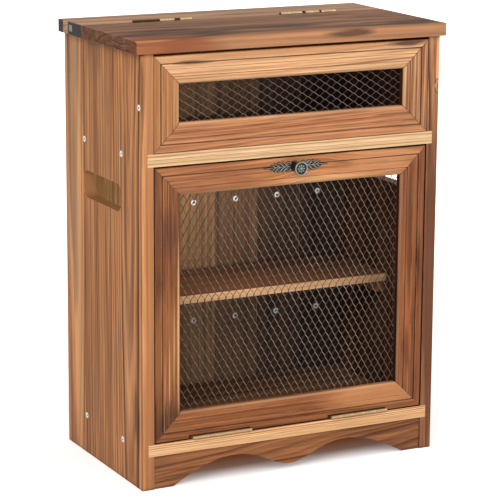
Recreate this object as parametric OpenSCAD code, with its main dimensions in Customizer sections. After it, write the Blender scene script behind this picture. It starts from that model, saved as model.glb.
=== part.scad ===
// Vegetable bin cabinet: a pine carcass with a hinged lid, a fixed mesh panel and a fold-down mesh door.
// Millimetres, +Z up, front faces -Y. The origin is the middle of the bounding box, on the floor.
// Inside each module Y is counted back from the carcass front plane; placed() moves it to the origin.

/* [Cabinet] */
// width over the two side panels
body_w = 470; // [400:1:570]
// depth of the side panels
body_d = 268; // [222:1:330]
// height of the side panels, floor to underside of the lid
side_h = 617; // [560:1:745]
// thickness of the carcass boards, the lid and the rear strip
board_t = 18; // [15:0.5:21.6]

/* [Inside] */
// underside of the bottom board above the floor
bottom_z = 48; // [40:1:70]
// clear height of the upper compartment, divider to lid
upper_h = 138; // [110:1:170]
// how far the bottom board and divider enter the side panels
dado_d = 8.6; // [4:0.2:10]
// shelf thickness
shelf_t = 12; // [9:0.5:18]
// shelf height above the bottom board
shelf_rise = 168; // [120:1:230]
// shelf front edge behind the carcass front
shelf_setback = 106; // [70:1:130]
// height of the strip that carries the shelf
cleat_h = 18; // [12:1:30]
// thickness of the strip that carries the shelf
cleat_t = 12; // [8:1:18]

/* [Back] */
// number of upright back slats
slats = 6; // [4:1:8]
// slat thickness
slat_t = 8; // [6:0.5:12]
// open joint between neighbouring slats
slat_gap = 0.4; // [0.2:0.1:2]
// batten thickness
batten_t = 8; // [6:0.5:12]
// batten height
batten_h = 40; // [24:1:60]
// lower screw row above the bottom board
low_row = 99.5; // [60:0.5:130]
// upper screw row above the bottom board
high_row = 283; // [240:0.5:320]
// screw spacing as a share of the slat width
row_pitch = 0.976; // [0.9:0.001:1.05]

/* [Lid] */
// lid and rear strip beyond the side panels
side_overhang = 9; // [2:0.5:20]
// lid beyond the carcass front
front_overhang = 5.5; // [0:0.5:15]
// rear strip beyond the carcass back
back_overhang = 1; // [0:0.5:5]
// width of the fixed rear strip
strip_w = 85; // [70:1:110]
// gap between the lid and the rear strip
lid_gap = 0.8; // [0.6:0.1:2]
// rounding of the lid's upper front edge
lid_round = 5; // [2:0.5:8]
// rounding of the lid's front corners, seen from above
corner_round = 4; // [2:0.5:10]

/* [Frames] */
// width of a frame member
member_w = 40; // [32:0.5:50]
// thickness of a frame member
frame_t = 16; // [14:0.5:20]
// clear gap at each side of the door
door_side_gap = 1.7; // [1:0.1:3]
// clear gap under the door
door_foot_gap = 1.5; // [1.5:0.1:3]
// clear gap over the door
door_head_gap = 2.5; // [1.5:0.1:4]
// gap between the upper frame and the lid
lid_shadow = 4; // [1:0.5:8]
// front of the frame to the mesh
mesh_back = 12; // [10:0.5:13]
// width of the rebate that holds the mesh
rebate_w = 9; // [6:0.5:12]

/* [Mesh] */
// sheet thickness
mesh_t = 1; // [0.6:0.1:1.6]
// openings across the door sheet
door_cols = 16; // [8:1:16]
// openings up the door sheet
door_rows = 8; // [4:1:8]
// openings across the upper sheet
upper_cols = 16; // [8:1:24]
// openings up the upper sheet
upper_rows = 4; // [2:1:5]
// size of an opening within its lattice cell
open_share = 0.8; // [0.6:0.01:0.9]

/* [Hand slots] */
// slot length, front to back
slot_l = 132; // [90:1:150]
// slot height
slot_h = 40; // [28:1:50]
// front end of the slot behind the carcass front
slot_front = 69.5; // [60:0.5:75]
// slot's upper edge below the top of the side panel
slot_drop = 191; // [185:1:230]
// corner radius of the slot
slot_r = 13.5; // [6:0.5:13.5]

/* [Apron] */
// apron thickness
apron_t = 16; // [12:0.5:20]
// apron front behind the carcass front
apron_back = 1.5; // [0:0.5:6]
// flat foot at each end
foot_w = 30; // [20:1:50]
// top of the arches above the floor
arch_z = 32.7; // [20:0.1:34]
// arch top from the middle, as a share of half the apron
arch_at = 0.43; // [0.3:0.01:0.6]
// lowest point of the middle lobe above the floor
lobe_z = 7.4; // [3:0.1:20]

/* [Hinges] */
// hinge length
hinge_l = 93; // [70:1:110]
// hinge leaf, pin to free edge
leaf_w = 14; // [10:0.5:14.5]
// leaf thickness
leaf_t = 1.2; // [0.8:0.1:1.5]
// pin radius
pin_r = 1; // [0.8:0.05:1.2]
// radial play of the pin
pin_fit = 0.05; // [0.03:0.01:0.08]
// play between knuckles
knuckle_gap = 0.4; // [0.3:0.1:0.8]
// knuckle radius of the door hinges
door_barrel_r = 2.3; // [2:0.05:2.5]
// door hinge pin in front of the carcass
door_pin_out = 1.8; // [1.6:0.1:2.4]
// inner end of the door hinges from the middle
door_hinge_x = 65; // [30:1:70]
// knuckle radius of the lid hinges
lid_barrel_r = 2.5; // [2:0.05:3]
// lid hinge pin above the lid's top
lid_pin_up = 0.7; // [0.5:0.1:1.5]
// inner end of the lid hinges from the middle
lid_hinge_x = 72; // [30:1:75]

/* [Knob] */
// knob diameter
knob_d = 20; // [16:0.5:24]
// knob face beyond the carcass front
knob_reach = 23; // [18:0.5:30]
// knob centre below the top edge of the door
knob_drop = 13; // [11:0.5:15]
// length of the pierced plate
plate_l = 103; // [80:1:120]
// height of the pierced plate
plate_h = 15.5; // [15:0.5:20]
// thickness of the pierced plate
plate_t = 1.4; // [0.8:0.1:2]

/* [Fixings] */
// head diameter of the wood screws
head_d = 9; // [6:0.5:9.5]
// shank diameter of the wood screws
shank_d = 4; // [3:0.1:4.5]
// play round a screw
screw_fit = 0.1; // [0.05:0.01:0.2]
// first side screw behind the carcass front
screw_front = 68.3; // [60:0.1:75]
// second side screw behind the carcass front
screw_rear = 198.2; // [180:0.1:205]

/* [Hidden] */
$fn = 40;
e = 0.01;

// carcass
mid_y = (body_d + back_overhang - knob_reach) / 2;
half_w = body_w / 2;
in_x = half_w - board_t;
bottom_top = bottom_z + board_t;
div_top = side_h - upper_h;
div_z = div_top - board_t;
lower_h = div_z - bottom_top;
slat_y = body_d - batten_t - slat_t;
batten_y = body_d - batten_t;
slat_w = 2 * in_x / slats;
shelf_z = bottom_top + shelf_rise;
row_low_z = bottom_top + low_row;
row_high_z = bottom_top + high_row;

// lid
lid_half = half_w + side_overhang;
joint_y = body_d + back_overhang - strip_w - lid_gap / 2;
top_z = side_h + board_t;

// frames
k = member_w / 40;
door_half = in_x - door_side_gap;
door_z0 = bottom_top + door_foot_gap;
door_z1 = div_z - door_head_gap;
door_h = door_z1 - door_z0;
up_z0 = div_top;
up_z1 = side_h - lid_shadow;
up_h = up_z1 - up_z0;

// hinges
knuckles = 5;
seg = hinge_l / knuckles;
door_pin_z = bottom_top + 2 * leaf_t;
door_barrel_keep = door_barrel_r + 0.4;
lid_pin_z = top_z + lid_pin_up;
lid_barrel_keep = lid_barrel_r + 0.4;
small_head = 5.2;
small_shank = 2.6;

// knob
knob_z = door_z1 - knob_drop;

module placed() {
    translate([0, -mid_y, 0])
        children();
}

// A box given by its two opposite corners.
module span(a, b) {
    translate(a)
        cube([b[0] - a[0], b[1] - a[1], b[2] - a[2]]);
}

// Points of a quarter turn from angle a, used for rounded corners.
function quarter(cx, cy, r, a) = [for (i = [0:6]) [cx + r * cos(a + i * 15), cy + r * sin(a + i * 15)]];

// Screws: head flush at z = 0, shank towards -z.
module screw(len, hd, sd) {
    difference() {
        union() {
            translate([0, 0, -(hd - sd) / 2])
                cylinder(d1 = sd, d2 = hd, h = (hd - sd) / 2);
            translate([0, 0, -len])
                cylinder(d = sd, h = len - (hd - sd) / 2 + e);
        }
        translate([-hd * 0.3, -hd * 0.06, -hd * 0.16])
            cube([hd * 0.6, hd * 0.12, hd]);
        translate([-hd * 0.06, -hd * 0.3, -hd * 0.16])
            cube([hd * 0.12, hd * 0.6, hd]);
    }
}

module screw_hole(len, hd, sd) {
    f = screw_fit;
    translate([0, 0, -(hd - sd) / 2 - f])
        cylinder(d1 = sd + 2 * f, d2 = hd + 4 * f, h = (hd - sd) / 2 + 2 * f);
    translate([0, 0, -len - f])
        cylinder(d = sd + 2 * f, h = len);
}

// ---- places of the fixings, as modules that put a child at each ----

module at_side_screws(side) {
    for (y = [screw_front, screw_rear]) {
        translate([side * half_w, y, div_z + board_t / 2])
            rotate([0, side * 90, 0])
                children();
        translate([side * half_w, y, bottom_z + board_t / 2])
            rotate([0, side * 90, 0])
                children();
    }
    translate([side * half_w, frame_t / 2, (up_z0 + up_z1) / 2 - 3])
        rotate([0, side * 90, 0])
            children();
}

module at_back_screws() {
    for (i = [0:slats - 1]) {
        for (z = [row_low_z, row_high_z]) {
            translate([(i - (slats - 1) / 2) * slat_w * row_pitch, slat_y, z])
                rotate([90, 0, 0])
                    children();
        }
    }
}

// ---- carcass ----

module slot_cut() {
    z1 = side_h - slot_drop;
    z0 = z1 - slot_h;
    y1 = slot_front + slot_l;
    pts = concat(
        quarter(y1 - slot_r, z1 - slot_r, slot_r, 0),
        quarter(slot_front + slot_r, z1 - slot_r, slot_r, 90),
        quarter(slot_front + slot_r, z0 + slot_r, slot_r, 180),
        quarter(y1 - slot_r, z0 + slot_r, slot_r, 270)
    );
    rotate([90, 0, 90])
        linear_extrude(board_t + 2)
            polygon(pts);
}

module side_panel(side) {
    color([0.72, 0.5, 0.35])
        placed()
            difference() {
                span([side < 0 ? -half_w : in_x, 0, 0], [side < 0 ? -in_x : half_w, body_d, side_h]);
                translate([side < 0 ? -half_w - 1 : in_x - 1, 0, 0])
                    slot_cut();
                span([-in_x - dado_d, -1, bottom_z], [in_x + dado_d, slat_y, bottom_top]);
                span([-in_x - dado_d, -1, div_z], [in_x + dado_d, slat_y, div_top]);
                at_side_screws(side)
                    screw_hole(38, head_d, shank_d);
            }
}

module bottom_board() {
    color([0.9, 0.75, 0.55])
        placed()
            difference() {
                span([-in_x - dado_d, 0, bottom_z], [in_x + dado_d, slat_y, bottom_top]);
                for (side = [-1, 1])
                    at_side_screws(side)
                        screw_hole(38, head_d, shank_d);
                at_door_leaf_screws()
                    translate([0, 0, door_pin_z - leaf_t])
                        screw_hole(12, small_head, small_shank);
            }
}

module divider_board() {
    color([0.9, 0.75, 0.55])
        placed()
            difference() {
                span([-in_x - dado_d, 0, div_z], [in_x + dado_d, slat_y, div_top]);
                for (side = [-1, 1])
                    at_side_screws(side)
                        screw_hole(38, head_d, shank_d);
                at_catch_screws()
                    screw_hole(17, small_head, small_shank);
            }
}

module shelf() {
    color([0.85, 0.68, 0.48])
        placed()
            span([-in_x, shelf_setback, shelf_z], [in_x, slat_y, shelf_z + shelf_t]);
}

module shelf_cleat(side) {
    color([0.6, 0.36, 0.25])
        placed()
            span(
                [side < 0 ? -in_x : in_x - cleat_t, shelf_setback + 6, shelf_z - cleat_h],
                [side < 0 ? -in_x + cleat_t : in_x, slat_y, shelf_z]
            );
}

module back_slat(i) {
    color([0.55, 0.42, 0.32])
        placed()
            difference() {
                span(
                    [-in_x + (i - 1) * slat_w + slat_gap / 2, slat_y, bottom_z],
                    [-in_x + i * slat_w - slat_gap / 2, batten_y, side_h]
                );
                at_back_screws()
                    screw_hole(slat_t + batten_t - 1, head_d, shank_d);
            }
}

module back_batten(z) {
    color([0.6, 0.45, 0.33])
        placed()
            difference() {
                span([-in_x, batten_y, z - batten_h / 2], [in_x, body_d, z + batten_h / 2]);
                at_back_screws()
                    screw_hole(slat_t + batten_t - 1, head_d, shank_d);
            }
}

// Height of the apron's lower edge at distance x from the middle.
function apron_edge(x, half, peak) =
    x >= half - foot_w ? 0
    : x >= peak ? arch_z * sin(90 * (half - foot_w - x) / (half - foot_w - peak))
    : arch_z - (arch_z - lobe_z) * (1 - cos(180 * pow((peak - x) / peak, 1.3))) / 2;

module apron() {
    half = in_x;
    peak = half * arch_at;
    run = half - foot_w;
    n = 20;
    right = concat(
        [for (i = [0:n]) [peak * i / n, apron_edge(peak * i / n, half, peak)]],
        [for (i = [1:n]) [peak + (run - peak) * i / n, apron_edge(peak + (run - peak) * i / n, half, peak)]],
        [[half, 0]]
    );
    left = [for (i = [len(right) - 1:-1:1]) [-right[i][0], right[i][1]]];
    color([0.5, 0.28, 0.2])
        placed()
            translate([0, apron_back + apron_t, 0])
                rotate([90, 0, 0])
                    linear_extrude(apron_t)
                        polygon(concat(left, right, [[half, bottom_z], [-half, bottom_z]]));
}

// ---- lid and rear strip ----

module rear_top_strip() {
    color([0.5, 0.4, 0.32])
        placed()
            difference() {
                span([-lid_half, joint_y + lid_gap / 2, side_h], [lid_half, body_d + back_overhang, top_z]);
                for (side = [-1, 1])
                    at_lid_hinge(side) {
                        span([-0.4, -e - lid_pin_up, lid_gap / 2 - e], [hinge_l + 0.4, lid_barrel_keep, lid_barrel_keep]);
                        span([-0.4, -e - lid_pin_up, lid_gap / 2 - e], [hinge_l + 0.4, leaf_w, lid_gap / 2 + leaf_t]);
                    }
                at_lid_leaf_screws()
                    translate([0, 0, lid_gap / 2])
                        mirror([0, 0, 1])
                            screw_hole(14, small_head, small_shank);
            }
}

module lid_board() {
    x1 = lid_half;
    y0 = -front_overhang;
    y1 = joint_y - lid_gap / 2;
    r = corner_round;
    plan = concat(
        quarter(-x1 + r, y0 + r, r, 180),
        quarter(x1 - r, y0 + r, r, 270),
        [[x1, y1], [-x1, y1]]
    );
    edge = concat(
        [[y0 + 1, side_h], [y1, side_h], [y1, top_z]],
        quarter(y0 + lid_round, top_z - lid_round, lid_round, 90),
        [[y0, side_h + 1]]
    );
    color([0.55, 0.42, 0.33])
        placed()
            difference() {
                intersection() {
                    translate([0, 0, side_h])
                        linear_extrude(board_t)
                            polygon(plan);
                    translate([-x1 - 1, 0, 0])
                        rotate([90, 0, 90])
                            linear_extrude(2 * x1 + 2)
                                polygon(edge);
                }
                for (side = [-1, 1])
                    at_lid_hinge(side) {
                        span([-0.4, -e - lid_pin_up, -lid_barrel_keep], [hinge_l + 0.4, lid_barrel_keep, -lid_gap / 2 + e]);
                        span([-0.4, -e - lid_pin_up, -lid_gap / 2 - leaf_t], [hinge_l + 0.4, leaf_w, -lid_gap / 2 + e]);
                    }
                at_lid_leaf_screws()
                    translate([0, 0, -lid_gap / 2])
                        screw_hole(14, small_head, small_shank);
            }
}

// ---- hinges: the pin lies along X, the leaf reaches towards +y, its faces at z = lo and z = hi ----

module hinge_leaf(own, lo, hi, barrel, keep) {
    difference() {
        union() {
            span([0, keep, lo], [hinge_l, leaf_w, hi]);
            for (i = own) {
                translate([i * seg + knuckle_gap / 2, 0, 0])
                    rotate([0, 90, 0])
                        cylinder(r = barrel, h = seg - knuckle_gap);
                span([i * seg + knuckle_gap / 2, 0, lo], [(i + 1) * seg - knuckle_gap / 2, keep + e, hi]);
            }
        }
        translate([-1, 0, 0])
            rotate([0, 90, 0])
                cylinder(r = pin_r + pin_fit, h = hinge_l + 2);
    }
}

module at_door_hinge(side) {
    translate([side < 0 ? -door_hinge_x - hinge_l : door_hinge_x, -door_pin_out, door_pin_z])
        children();
}

module at_lid_hinge(side) {
    translate([side < 0 ? -lid_hinge_x - hinge_l : lid_hinge_x, joint_y, lid_pin_z])
        rotate([-90, 0, 0])
            children();
}

// Screw places on a leaf; the children keep the hinge's own z.
module at_leaf_screws(keep) {
    for (i = [0.5, 2.5, 4.5])
        translate([i * seg, (keep + leaf_w) / 2, 0])
            children();
}

module at_door_leaf_screws() {
    for (side = [-1, 1])
        translate([0, 0, -door_pin_z])
            at_door_hinge(side)
                at_leaf_screws(door_barrel_keep)
                    children();
}

module at_lid_leaf_screws() {
    for (side = [-1, 1])
        at_lid_hinge(side)
            at_leaf_screws(lid_barrel_keep)
                children();
}

module door_leaf_fixed(side) {
    color([0.75, 0.6, 0.3])
        placed()
            difference() {
                at_door_hinge(side)
                    hinge_leaf([0, 2, 4], -2 * leaf_t, -leaf_t, door_barrel_r, door_barrel_keep);
                at_door_leaf_screws()
                    translate([0, 0, door_pin_z - leaf_t])
                        screw_hole(12, small_head, small_shank);
            }
}

module door_leaf_moving(side) {
    color([0.75, 0.6, 0.3])
        placed()
            difference() {
                at_door_hinge(side)
                    hinge_leaf([1, 3], door_barrel_r - leaf_t - 0.1, door_barrel_r - 0.1, door_barrel_r, door_barrel_keep);
                at_door_leaf_screws()
                    translate([0, 0, door_pin_z + door_barrel_r - leaf_t - 0.1])
                        mirror([0, 0, 1])
                            screw_hole(12, small_head, small_shank);
            }
}

module lid_leaf_fixed(side) {
    color([0.75, 0.6, 0.3])
        placed()
            difference() {
                at_lid_hinge(side)
                    hinge_leaf([0, 2, 4], lid_gap / 2, lid_gap / 2 + leaf_t, lid_barrel_r, lid_barrel_keep);
                at_lid_leaf_screws()
                    translate([0, 0, lid_gap / 2])
                        mirror([0, 0, 1])
                            screw_hole(14, small_head, small_shank);
            }
}

module lid_leaf_moving(side) {
    color([0.75, 0.6, 0.3])
        placed()
            difference() {
                at_lid_hinge(side)
                    hinge_leaf([1, 3], -lid_gap / 2 - leaf_t, -lid_gap / 2, lid_barrel_r, lid_barrel_keep);
                at_lid_leaf_screws()
                    translate([0, 0, -lid_gap / 2])
                        screw_hole(14, small_head, small_shank);
            }
}

module hinge_pin() {
    rotate([0, 90, 0])
        cylinder(r = pin_r, h = hinge_l);
}

module door_pins() {
    color([0.7, 0.55, 0.28])
        placed()
            for (side = [-1, 1])
                at_door_hinge(side)
                    hinge_pin();
}

module lid_pins() {
    color([0.7, 0.55, 0.28])
        placed()
            for (side = [-1, 1])
                at_lid_hinge(side)
                    hinge_pin();
}

module door_fixed_screws() {
    color([0.7, 0.6, 0.4])
        placed()
            at_door_leaf_screws()
                translate([0, 0, door_pin_z - leaf_t])
                    screw(12, small_head, small_shank);
}

module door_moving_screws() {
    color([0.7, 0.6, 0.4])
        placed()
            at_door_leaf_screws()
                translate([0, 0, door_pin_z + door_barrel_r - leaf_t - 0.1])
                    mirror([0, 0, 1])
                        screw(12, small_head, small_shank);
}

module lid_fixed_screws() {
    color([0.7, 0.6, 0.4])
        placed()
            at_lid_leaf_screws()
                translate([0, 0, lid_gap / 2])
                    mirror([0, 0, 1])
                        screw(14, small_head, small_shank);
}

module lid_moving_screws() {
    color([0.7, 0.6, 0.4])
        placed()
            at_lid_leaf_screws()
                translate([0, 0, -lid_gap / 2])
                    screw(14, small_head, small_shank);
}

// ---- frames: one mitred member along X, outer edge at z = 0, window edge at z = member_w ----

module member(len) {
    face = [
        [0, 1], [1, 0], [10.5 * k, 0], [10.5 * k, 1.8], [12.3 * k, 1.8], [12.3 * k, 0.5],
        [18.9 * k, 0.5], [18.9 * k, 1.1], [19.5 * k, 1.1], [19.5 * k, 0.5], [28 * k, 0.5],
        [28 * k, 1.1], [36 * k, 1.1], [member_w, 4], [member_w, mesh_back],
        [member_w - rebate_w, mesh_back], [member_w - rebate_w, frame_t], [0, frame_t]
    ];
    intersection() {
        rotate([0, 90, 0])
            mirror([1, 0, 0])
                linear_extrude(len)
                    union() {
                        polygon(face);
                        translate([28 * k, 1.7])
                            circle(r = 2);
                    }
        translate([0, frame_t + 1, 0])
            rotate([90, 0, 0])
                linear_extrude(frame_t + 3)
                    polygon([[0, 0], [len, 0], [len - member_w, member_w], [member_w, member_w]]);
    }
}

module rail_low(half, z0) {
    translate([-half, 0, z0])
        member(2 * half);
}

module rail_high(half, z1) {
    translate([-half, 0, z1])
        mirror([0, 0, 1])
            member(2 * half);
}

module stile_right(half, z0, h) {
    translate([half, 0, z0])
        rotate([0, -90, 0])
            member(h);
}

module stile(side, half, z0, h) {
    if (side > 0)
        stile_right(half, z0, h);
    else
        mirror([1, 0, 0])
            stile_right(half, z0, h);
}

// Staples: a crown on the back of the sheet and two legs into the frame.
staple_l = 10;
staple_t = 0.8;
staple_leg = 5;
staple_in = 5;

module at_staples(half, z0, h, nx, nz) {
    in_w = half - member_w;
    dx = 2 * in_w / nx;
    for (i = [0:nx - 1]) {
        translate([-in_w + dx * (i + 0.5), mesh_back, z0 + member_w - staple_in])
            children();
        translate([-in_w + dx * (i + 0.5), mesh_back, z0 + h - member_w + staple_in])
            children();
    }
    in_h = h - 2 * member_w;
    for (i = [0:nz - 1]) {
        for (side = [-1, 1])
            translate([side * (in_w + staple_in), mesh_back, z0 + member_w + in_h * (i + 0.5) / nz])
                rotate([0, 90, 0])
                    children();
    }
}

module staple() {
    span([-staple_l / 2, mesh_t, -staple_t / 2], [staple_l / 2, mesh_t + staple_t, staple_t / 2]);
    for (s = [-1, 1])
        span(
            [s * (staple_l / 2 - staple_t / 2) - staple_t / 2, -staple_leg, -staple_t / 2],
            [s * (staple_l / 2 - staple_t / 2) + staple_t / 2, mesh_t + e, staple_t / 2]
        );
}

module staple_cut() {
    c = staple_t / 2 + screw_fit;
    for (s = [-1, 1])
        translate([s * (staple_l / 2 - staple_t / 2), 0, 0])
            span([-c, -staple_leg - 0.3, -c], [c, mesh_t + 1, c]);
}

module upper_staple_places() {
    at_staples(in_x, up_z0, up_h, 3, 1)
        children();
}

module door_staple_places() {
    at_staples(door_half, door_z0, door_h, 3, 2)
        children();
}

// One opening of the sheet; a and b are its half width and half height, cut flat on a border.
module opening(x, z, a, b, left, right, low, high) {
    polygon(concat(
        right ? [[x + a, z]] : [],
        high ? [[x, z + b]] : [],
        left ? [[x - a, z]] : [],
        low ? [[x, z - b]] : []
    ));
}

module sheet(w, h, cols, rows) {
    px = w / cols;
    pz = h / rows;
    a = px / 2 * open_share;
    b = pz / 2 * open_share;
    lap = rebate_w - 1;
    rotate([90, 0, 0])
        linear_extrude(mesh_t)
            difference() {
                translate([-w / 2 - lap, -lap])
                    square([w + 2 * lap, h + 2 * lap]);
                for (i = [0:cols - 1])
                    for (j = [0:rows - 1])
                        opening(-w / 2 + px * (i + 0.5), pz * (j + 0.5), a, b, true, true, true, true);
                for (i = [0:cols])
                    for (j = [0:rows])
                        if ((i > 0 && i < cols) || (j > 0 && j < rows))
                            opening(-w / 2 + px * i, pz * j, a, b, i > 0, i < cols, j > 0, j < rows);
            }
}

module upper_mesh() {
    color([0.5, 0.52, 0.55])
        placed()
            difference() {
                translate([0, mesh_back + mesh_t, up_z0 + member_w])
                    sheet(2 * (in_x - member_w), up_h - 2 * member_w, upper_cols, upper_rows);
                upper_staple_places()
                    staple_cut();
            }
}

module door_mesh() {
    color([0.5, 0.52, 0.55])
        placed()
            difference() {
                translate([0, mesh_back + mesh_t, door_z0 + member_w])
                    sheet(2 * (door_half - member_w), door_h - 2 * member_w, door_cols, door_rows);
                door_staple_places()
                    staple_cut();
            }
}

module upper_staples() {
    color([0.6, 0.6, 0.6])
        placed()
            upper_staple_places()
                staple();
}

module door_staples() {
    color([0.6, 0.6, 0.6])
        placed()
            door_staple_places()
                staple();
}

module upper_member(which) {
    color([0.68, 0.45, 0.3])
        placed()
            difference() {
                if (which == "top")
                    rail_high(in_x, up_z1);
                else if (which == "bottom")
                    rail_low(in_x, up_z0);
                else
                    stile(which == "left" ? -1 : 1, in_x, up_z0, up_h);
                upper_staple_places()
                    staple_cut();
                if (which == "left" || which == "right")
                    at_side_screws(which == "left" ? -1 : 1)
                        screw_hole(38, head_d, shank_d);
            }
}

module door_member(which) {
    color([0.68, 0.45, 0.3])
        placed()
            difference() {
                if (which == "top")
                    rail_high(door_half, door_z1);
                else if (which == "bottom")
                    rail_low(door_half, door_z0);
                else
                    stile(which == "left" ? -1 : 1, door_half, door_z0, door_h);
                door_staple_places()
                    staple_cut();
                if (which == "bottom")
                    door_bottom_cuts();
                if (which == "top")
                    door_top_cuts();
            }
}

module door_bottom_cuts() {
    for (side = [-1, 1])
        at_door_hinge(side)
            span([-0.5, 0, -2 * leaf_t], [hinge_l + 0.5, leaf_w + 0.3, door_barrel_r - 0.1]);
    at_door_leaf_screws()
        translate([0, 0, door_pin_z + door_barrel_r - leaf_t - 0.1])
            mirror([0, 0, 1])
                screw_hole(12, small_head, small_shank);
}

module door_top_cuts() {
    translate([0, frame_t, knob_z])
        rotate([-90, 0, 0])
            screw_hole(frame_t + 8, 7, shank_d);
    at_catch_plate_screw()
        screw_hole(11, small_head, small_shank);
}

// ---- knob, pierced plate, catch ----

module knob() {
    r = knob_d / 2;
    face = knob_reach - 1;
    color([0.35, 0.32, 0.28])
        placed()
            translate([0, 0, knob_z])
                rotate([90, 0, 0])
                    difference() {
                        rotate_extrude()
                            polygon([
                                [0, plate_t], [6.2, plate_t], [6.2, plate_t + 1.4], [4.2, plate_t + 3],
                                [4, face - 9.5], [6.5, face - 7], [r - 0.8, face - 6], [r, face - 4.6],
                                [r, face - 2.6], [r - 1, face - 1], [r - 2.4, face], [r - 3.4, face - 0.2],
                                [r - 4, face - 1], [3.4, face - 1], [3, face + 0.2], [1.6, face + 1], [0, face + 1]
                            ]);
                        for (i = [0:7])
                            rotate([0, 0, i * 45])
                                translate([(r - 4 + 3.4) / 2, 0, face - 2])
                                    cylinder(r = 1, h = 3);
                        cylinder(d = shank_d + 2 * screw_fit, h = 13);
                    }
}

// Outline of the pierced plate: half height at distance x from the middle.
function plate_edge(t) =
    t > 0.86 ? (1 - t) / 0.14 * 0.34
    : t > 0.3 ? 0.34 + 0.3 * pow(sin(180 * (t - 0.3) / 0.28), 2)
    : 0.34 + 0.66 * pow(cos(90 * t / 0.3), 0.7);

module knob_plate() {
    h = plate_h / 2;
    l = plate_l / 2;
    n = 30;
    top = [for (i = [-n:n]) [l * i / n, h * plate_edge(abs(i) / n)]];
    low = [for (i = [n - 1:-1:-n + 1]) [l * i / n, -h * plate_edge(abs(i) / n)]];
    color([0.3, 0.27, 0.24])
        placed()
            translate([3, 0, knob_z])
                rotate([90, 0, 0])
                    difference() {
                        linear_extrude(plate_t)
                            polygon(concat(top, low));
                        for (s = [-1, 1]) {
                            for (t = [0.3, 0.44, 0.58, 0.72])
                                translate([s * l * t, 0, -1])
                                    cylinder(r = h * 0.2, h = plate_t + 2);
                            for (t = [0.37, 0.51])
                                for (u = [-1, 1])
                                    translate([s * l * t, u * h * 0.33, -1])
                                        cylinder(r = h * 0.1, h = plate_t + 2);
                        }
                        translate([-3, 0, -1])
                            cylinder(d = shank_d + 2 * screw_fit, h = plate_t + 2);
                    }
}

module knob_screw() {
    color([0.7, 0.7, 0.7])
        placed()
            translate([0, frame_t, knob_z])
                rotate([-90, 0, 0])
                    screw(frame_t + 11, 7, shank_d);
}

catch_w = 36;
catch_d = 14;
catch_h = 11;
strike_t = 1.2;
catch_y = frame_t + strike_t + 0.3;

module at_catch_screws() {
    for (s = [-1, 1])
        translate([s * 12, catch_y + catch_d / 2, div_z - 3])
            rotate([180, 0, 0])
                children();
}

module at_catch_plate_screw() {
    translate([8, frame_t + strike_t, door_z1 - 5])
        rotate([-90, 0, 0])
            children();
}

module catch_block() {
    color([0.9, 0.9, 0.88])
        placed()
            difference() {
                union() {
                    span([-catch_w / 2, catch_y, div_z - 3], [catch_w / 2, catch_y + catch_d, div_z]);
                    span([-7, catch_y, div_z - catch_h], [7, catch_y + catch_d, div_z - 3 + e]);
                }
                at_catch_screws()
                    screw_hole(17, small_head, small_shank);
            }
}

module catch_screws() {
    color([0.7, 0.7, 0.7])
        placed()
            at_catch_screws()
                screw(17, small_head, small_shank);
}

module catch_plate() {
    color([0.7, 0.7, 0.7])
        placed()
            difference() {
                span([-12, frame_t, door_z1 - 9.5], [12, frame_t + strike_t, door_z1 - 0.5]);
                at_catch_plate_screw()
                    screw_hole(11, small_head, small_shank);
                translate([0, frame_t + 8, knob_z])
                    rotate([90, 0, 0])
                        cylinder(d = 9, h = 10);
            }
}

module catch_plate_screw() {
    color([0.7, 0.7, 0.7])
        placed()
            at_catch_plate_screw()
                screw(11, small_head, small_shank);
}

module side_screws() {
    color([0.85, 0.85, 0.85])
        placed()
            for (side = [-1, 1])
                at_side_screws(side)
                    screw(38, head_d, shank_d);
}

module back_screws() {
    color([0.85, 0.85, 0.85])
        placed()
            at_back_screws()
                screw(slat_t + batten_t - 1, head_d, shank_d);
}

// ---- the nodes ----

side_panel(-1);  // side_panel_left
side_panel(1);  // side_panel_right
bottom_board();
divider_board();
shelf();
shelf_cleat(-1);  // shelf_cleat_left
shelf_cleat(1);  // shelf_cleat_right
for (i = [1:slats])
    back_slat(i);
back_batten(row_low_z);  // back_batten_lower
back_batten(row_high_z);  // back_batten_upper
apron();
rear_top_strip();
upper_member("top");  // upper_rail_top
upper_member("bottom");  // upper_rail_bottom
upper_member("left");  // upper_stile_left
upper_member("right");  // upper_stile_right
upper_mesh();
upper_staples();
lid_leaf_fixed(-1);  // lid_leaf_fixed_left
lid_leaf_fixed(1);  // lid_leaf_fixed_right
lid_pins();
door_leaf_fixed(-1);  // door_leaf_fixed_left
door_leaf_fixed(1);  // door_leaf_fixed_right
door_pins();
side_screws();
back_screws();
lid_fixed_screws();
door_fixed_screws();
catch_block();
catch_screws();
lid_board();
lid_leaf_moving(-1);  // lid_leaf_moving_left
lid_leaf_moving(1);  // lid_leaf_moving_right
lid_moving_screws();
door_member("top");  // door_rail_top
door_member("bottom");  // door_rail_bottom
door_member("left");  // door_stile_left
door_member("right");  // door_stile_right
door_mesh();
door_staples();
door_leaf_moving(-1);  // door_leaf_moving_left
door_leaf_moving(1);  // door_leaf_moving_right
door_moving_screws();
knob();
knob_plate();
knob_screw();
catch_plate();
catch_plate_screw();
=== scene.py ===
# %% [markdown]
# # Tilt out bin cabinet, its looks
# A small pine cabinet with a brown stain that is scorched and rubbed through in places. A lid turns
# on two brass hinges, a net is fixed in front of the upper bin, and a netted door folds down below.
# The shapes come from the CAD nodes, which stay as they are. Each node gets a dressed copy, because
# a copy can be rounded and coloured while the node keeps its exact size.
# Lengths are in metres, in the CAD frame: x to the right, y to the back, z up.

# %% Frame, bodies and boxes
import math

import bmesh
import bpy
from mathutils import Euler, Matrix, Vector


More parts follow.
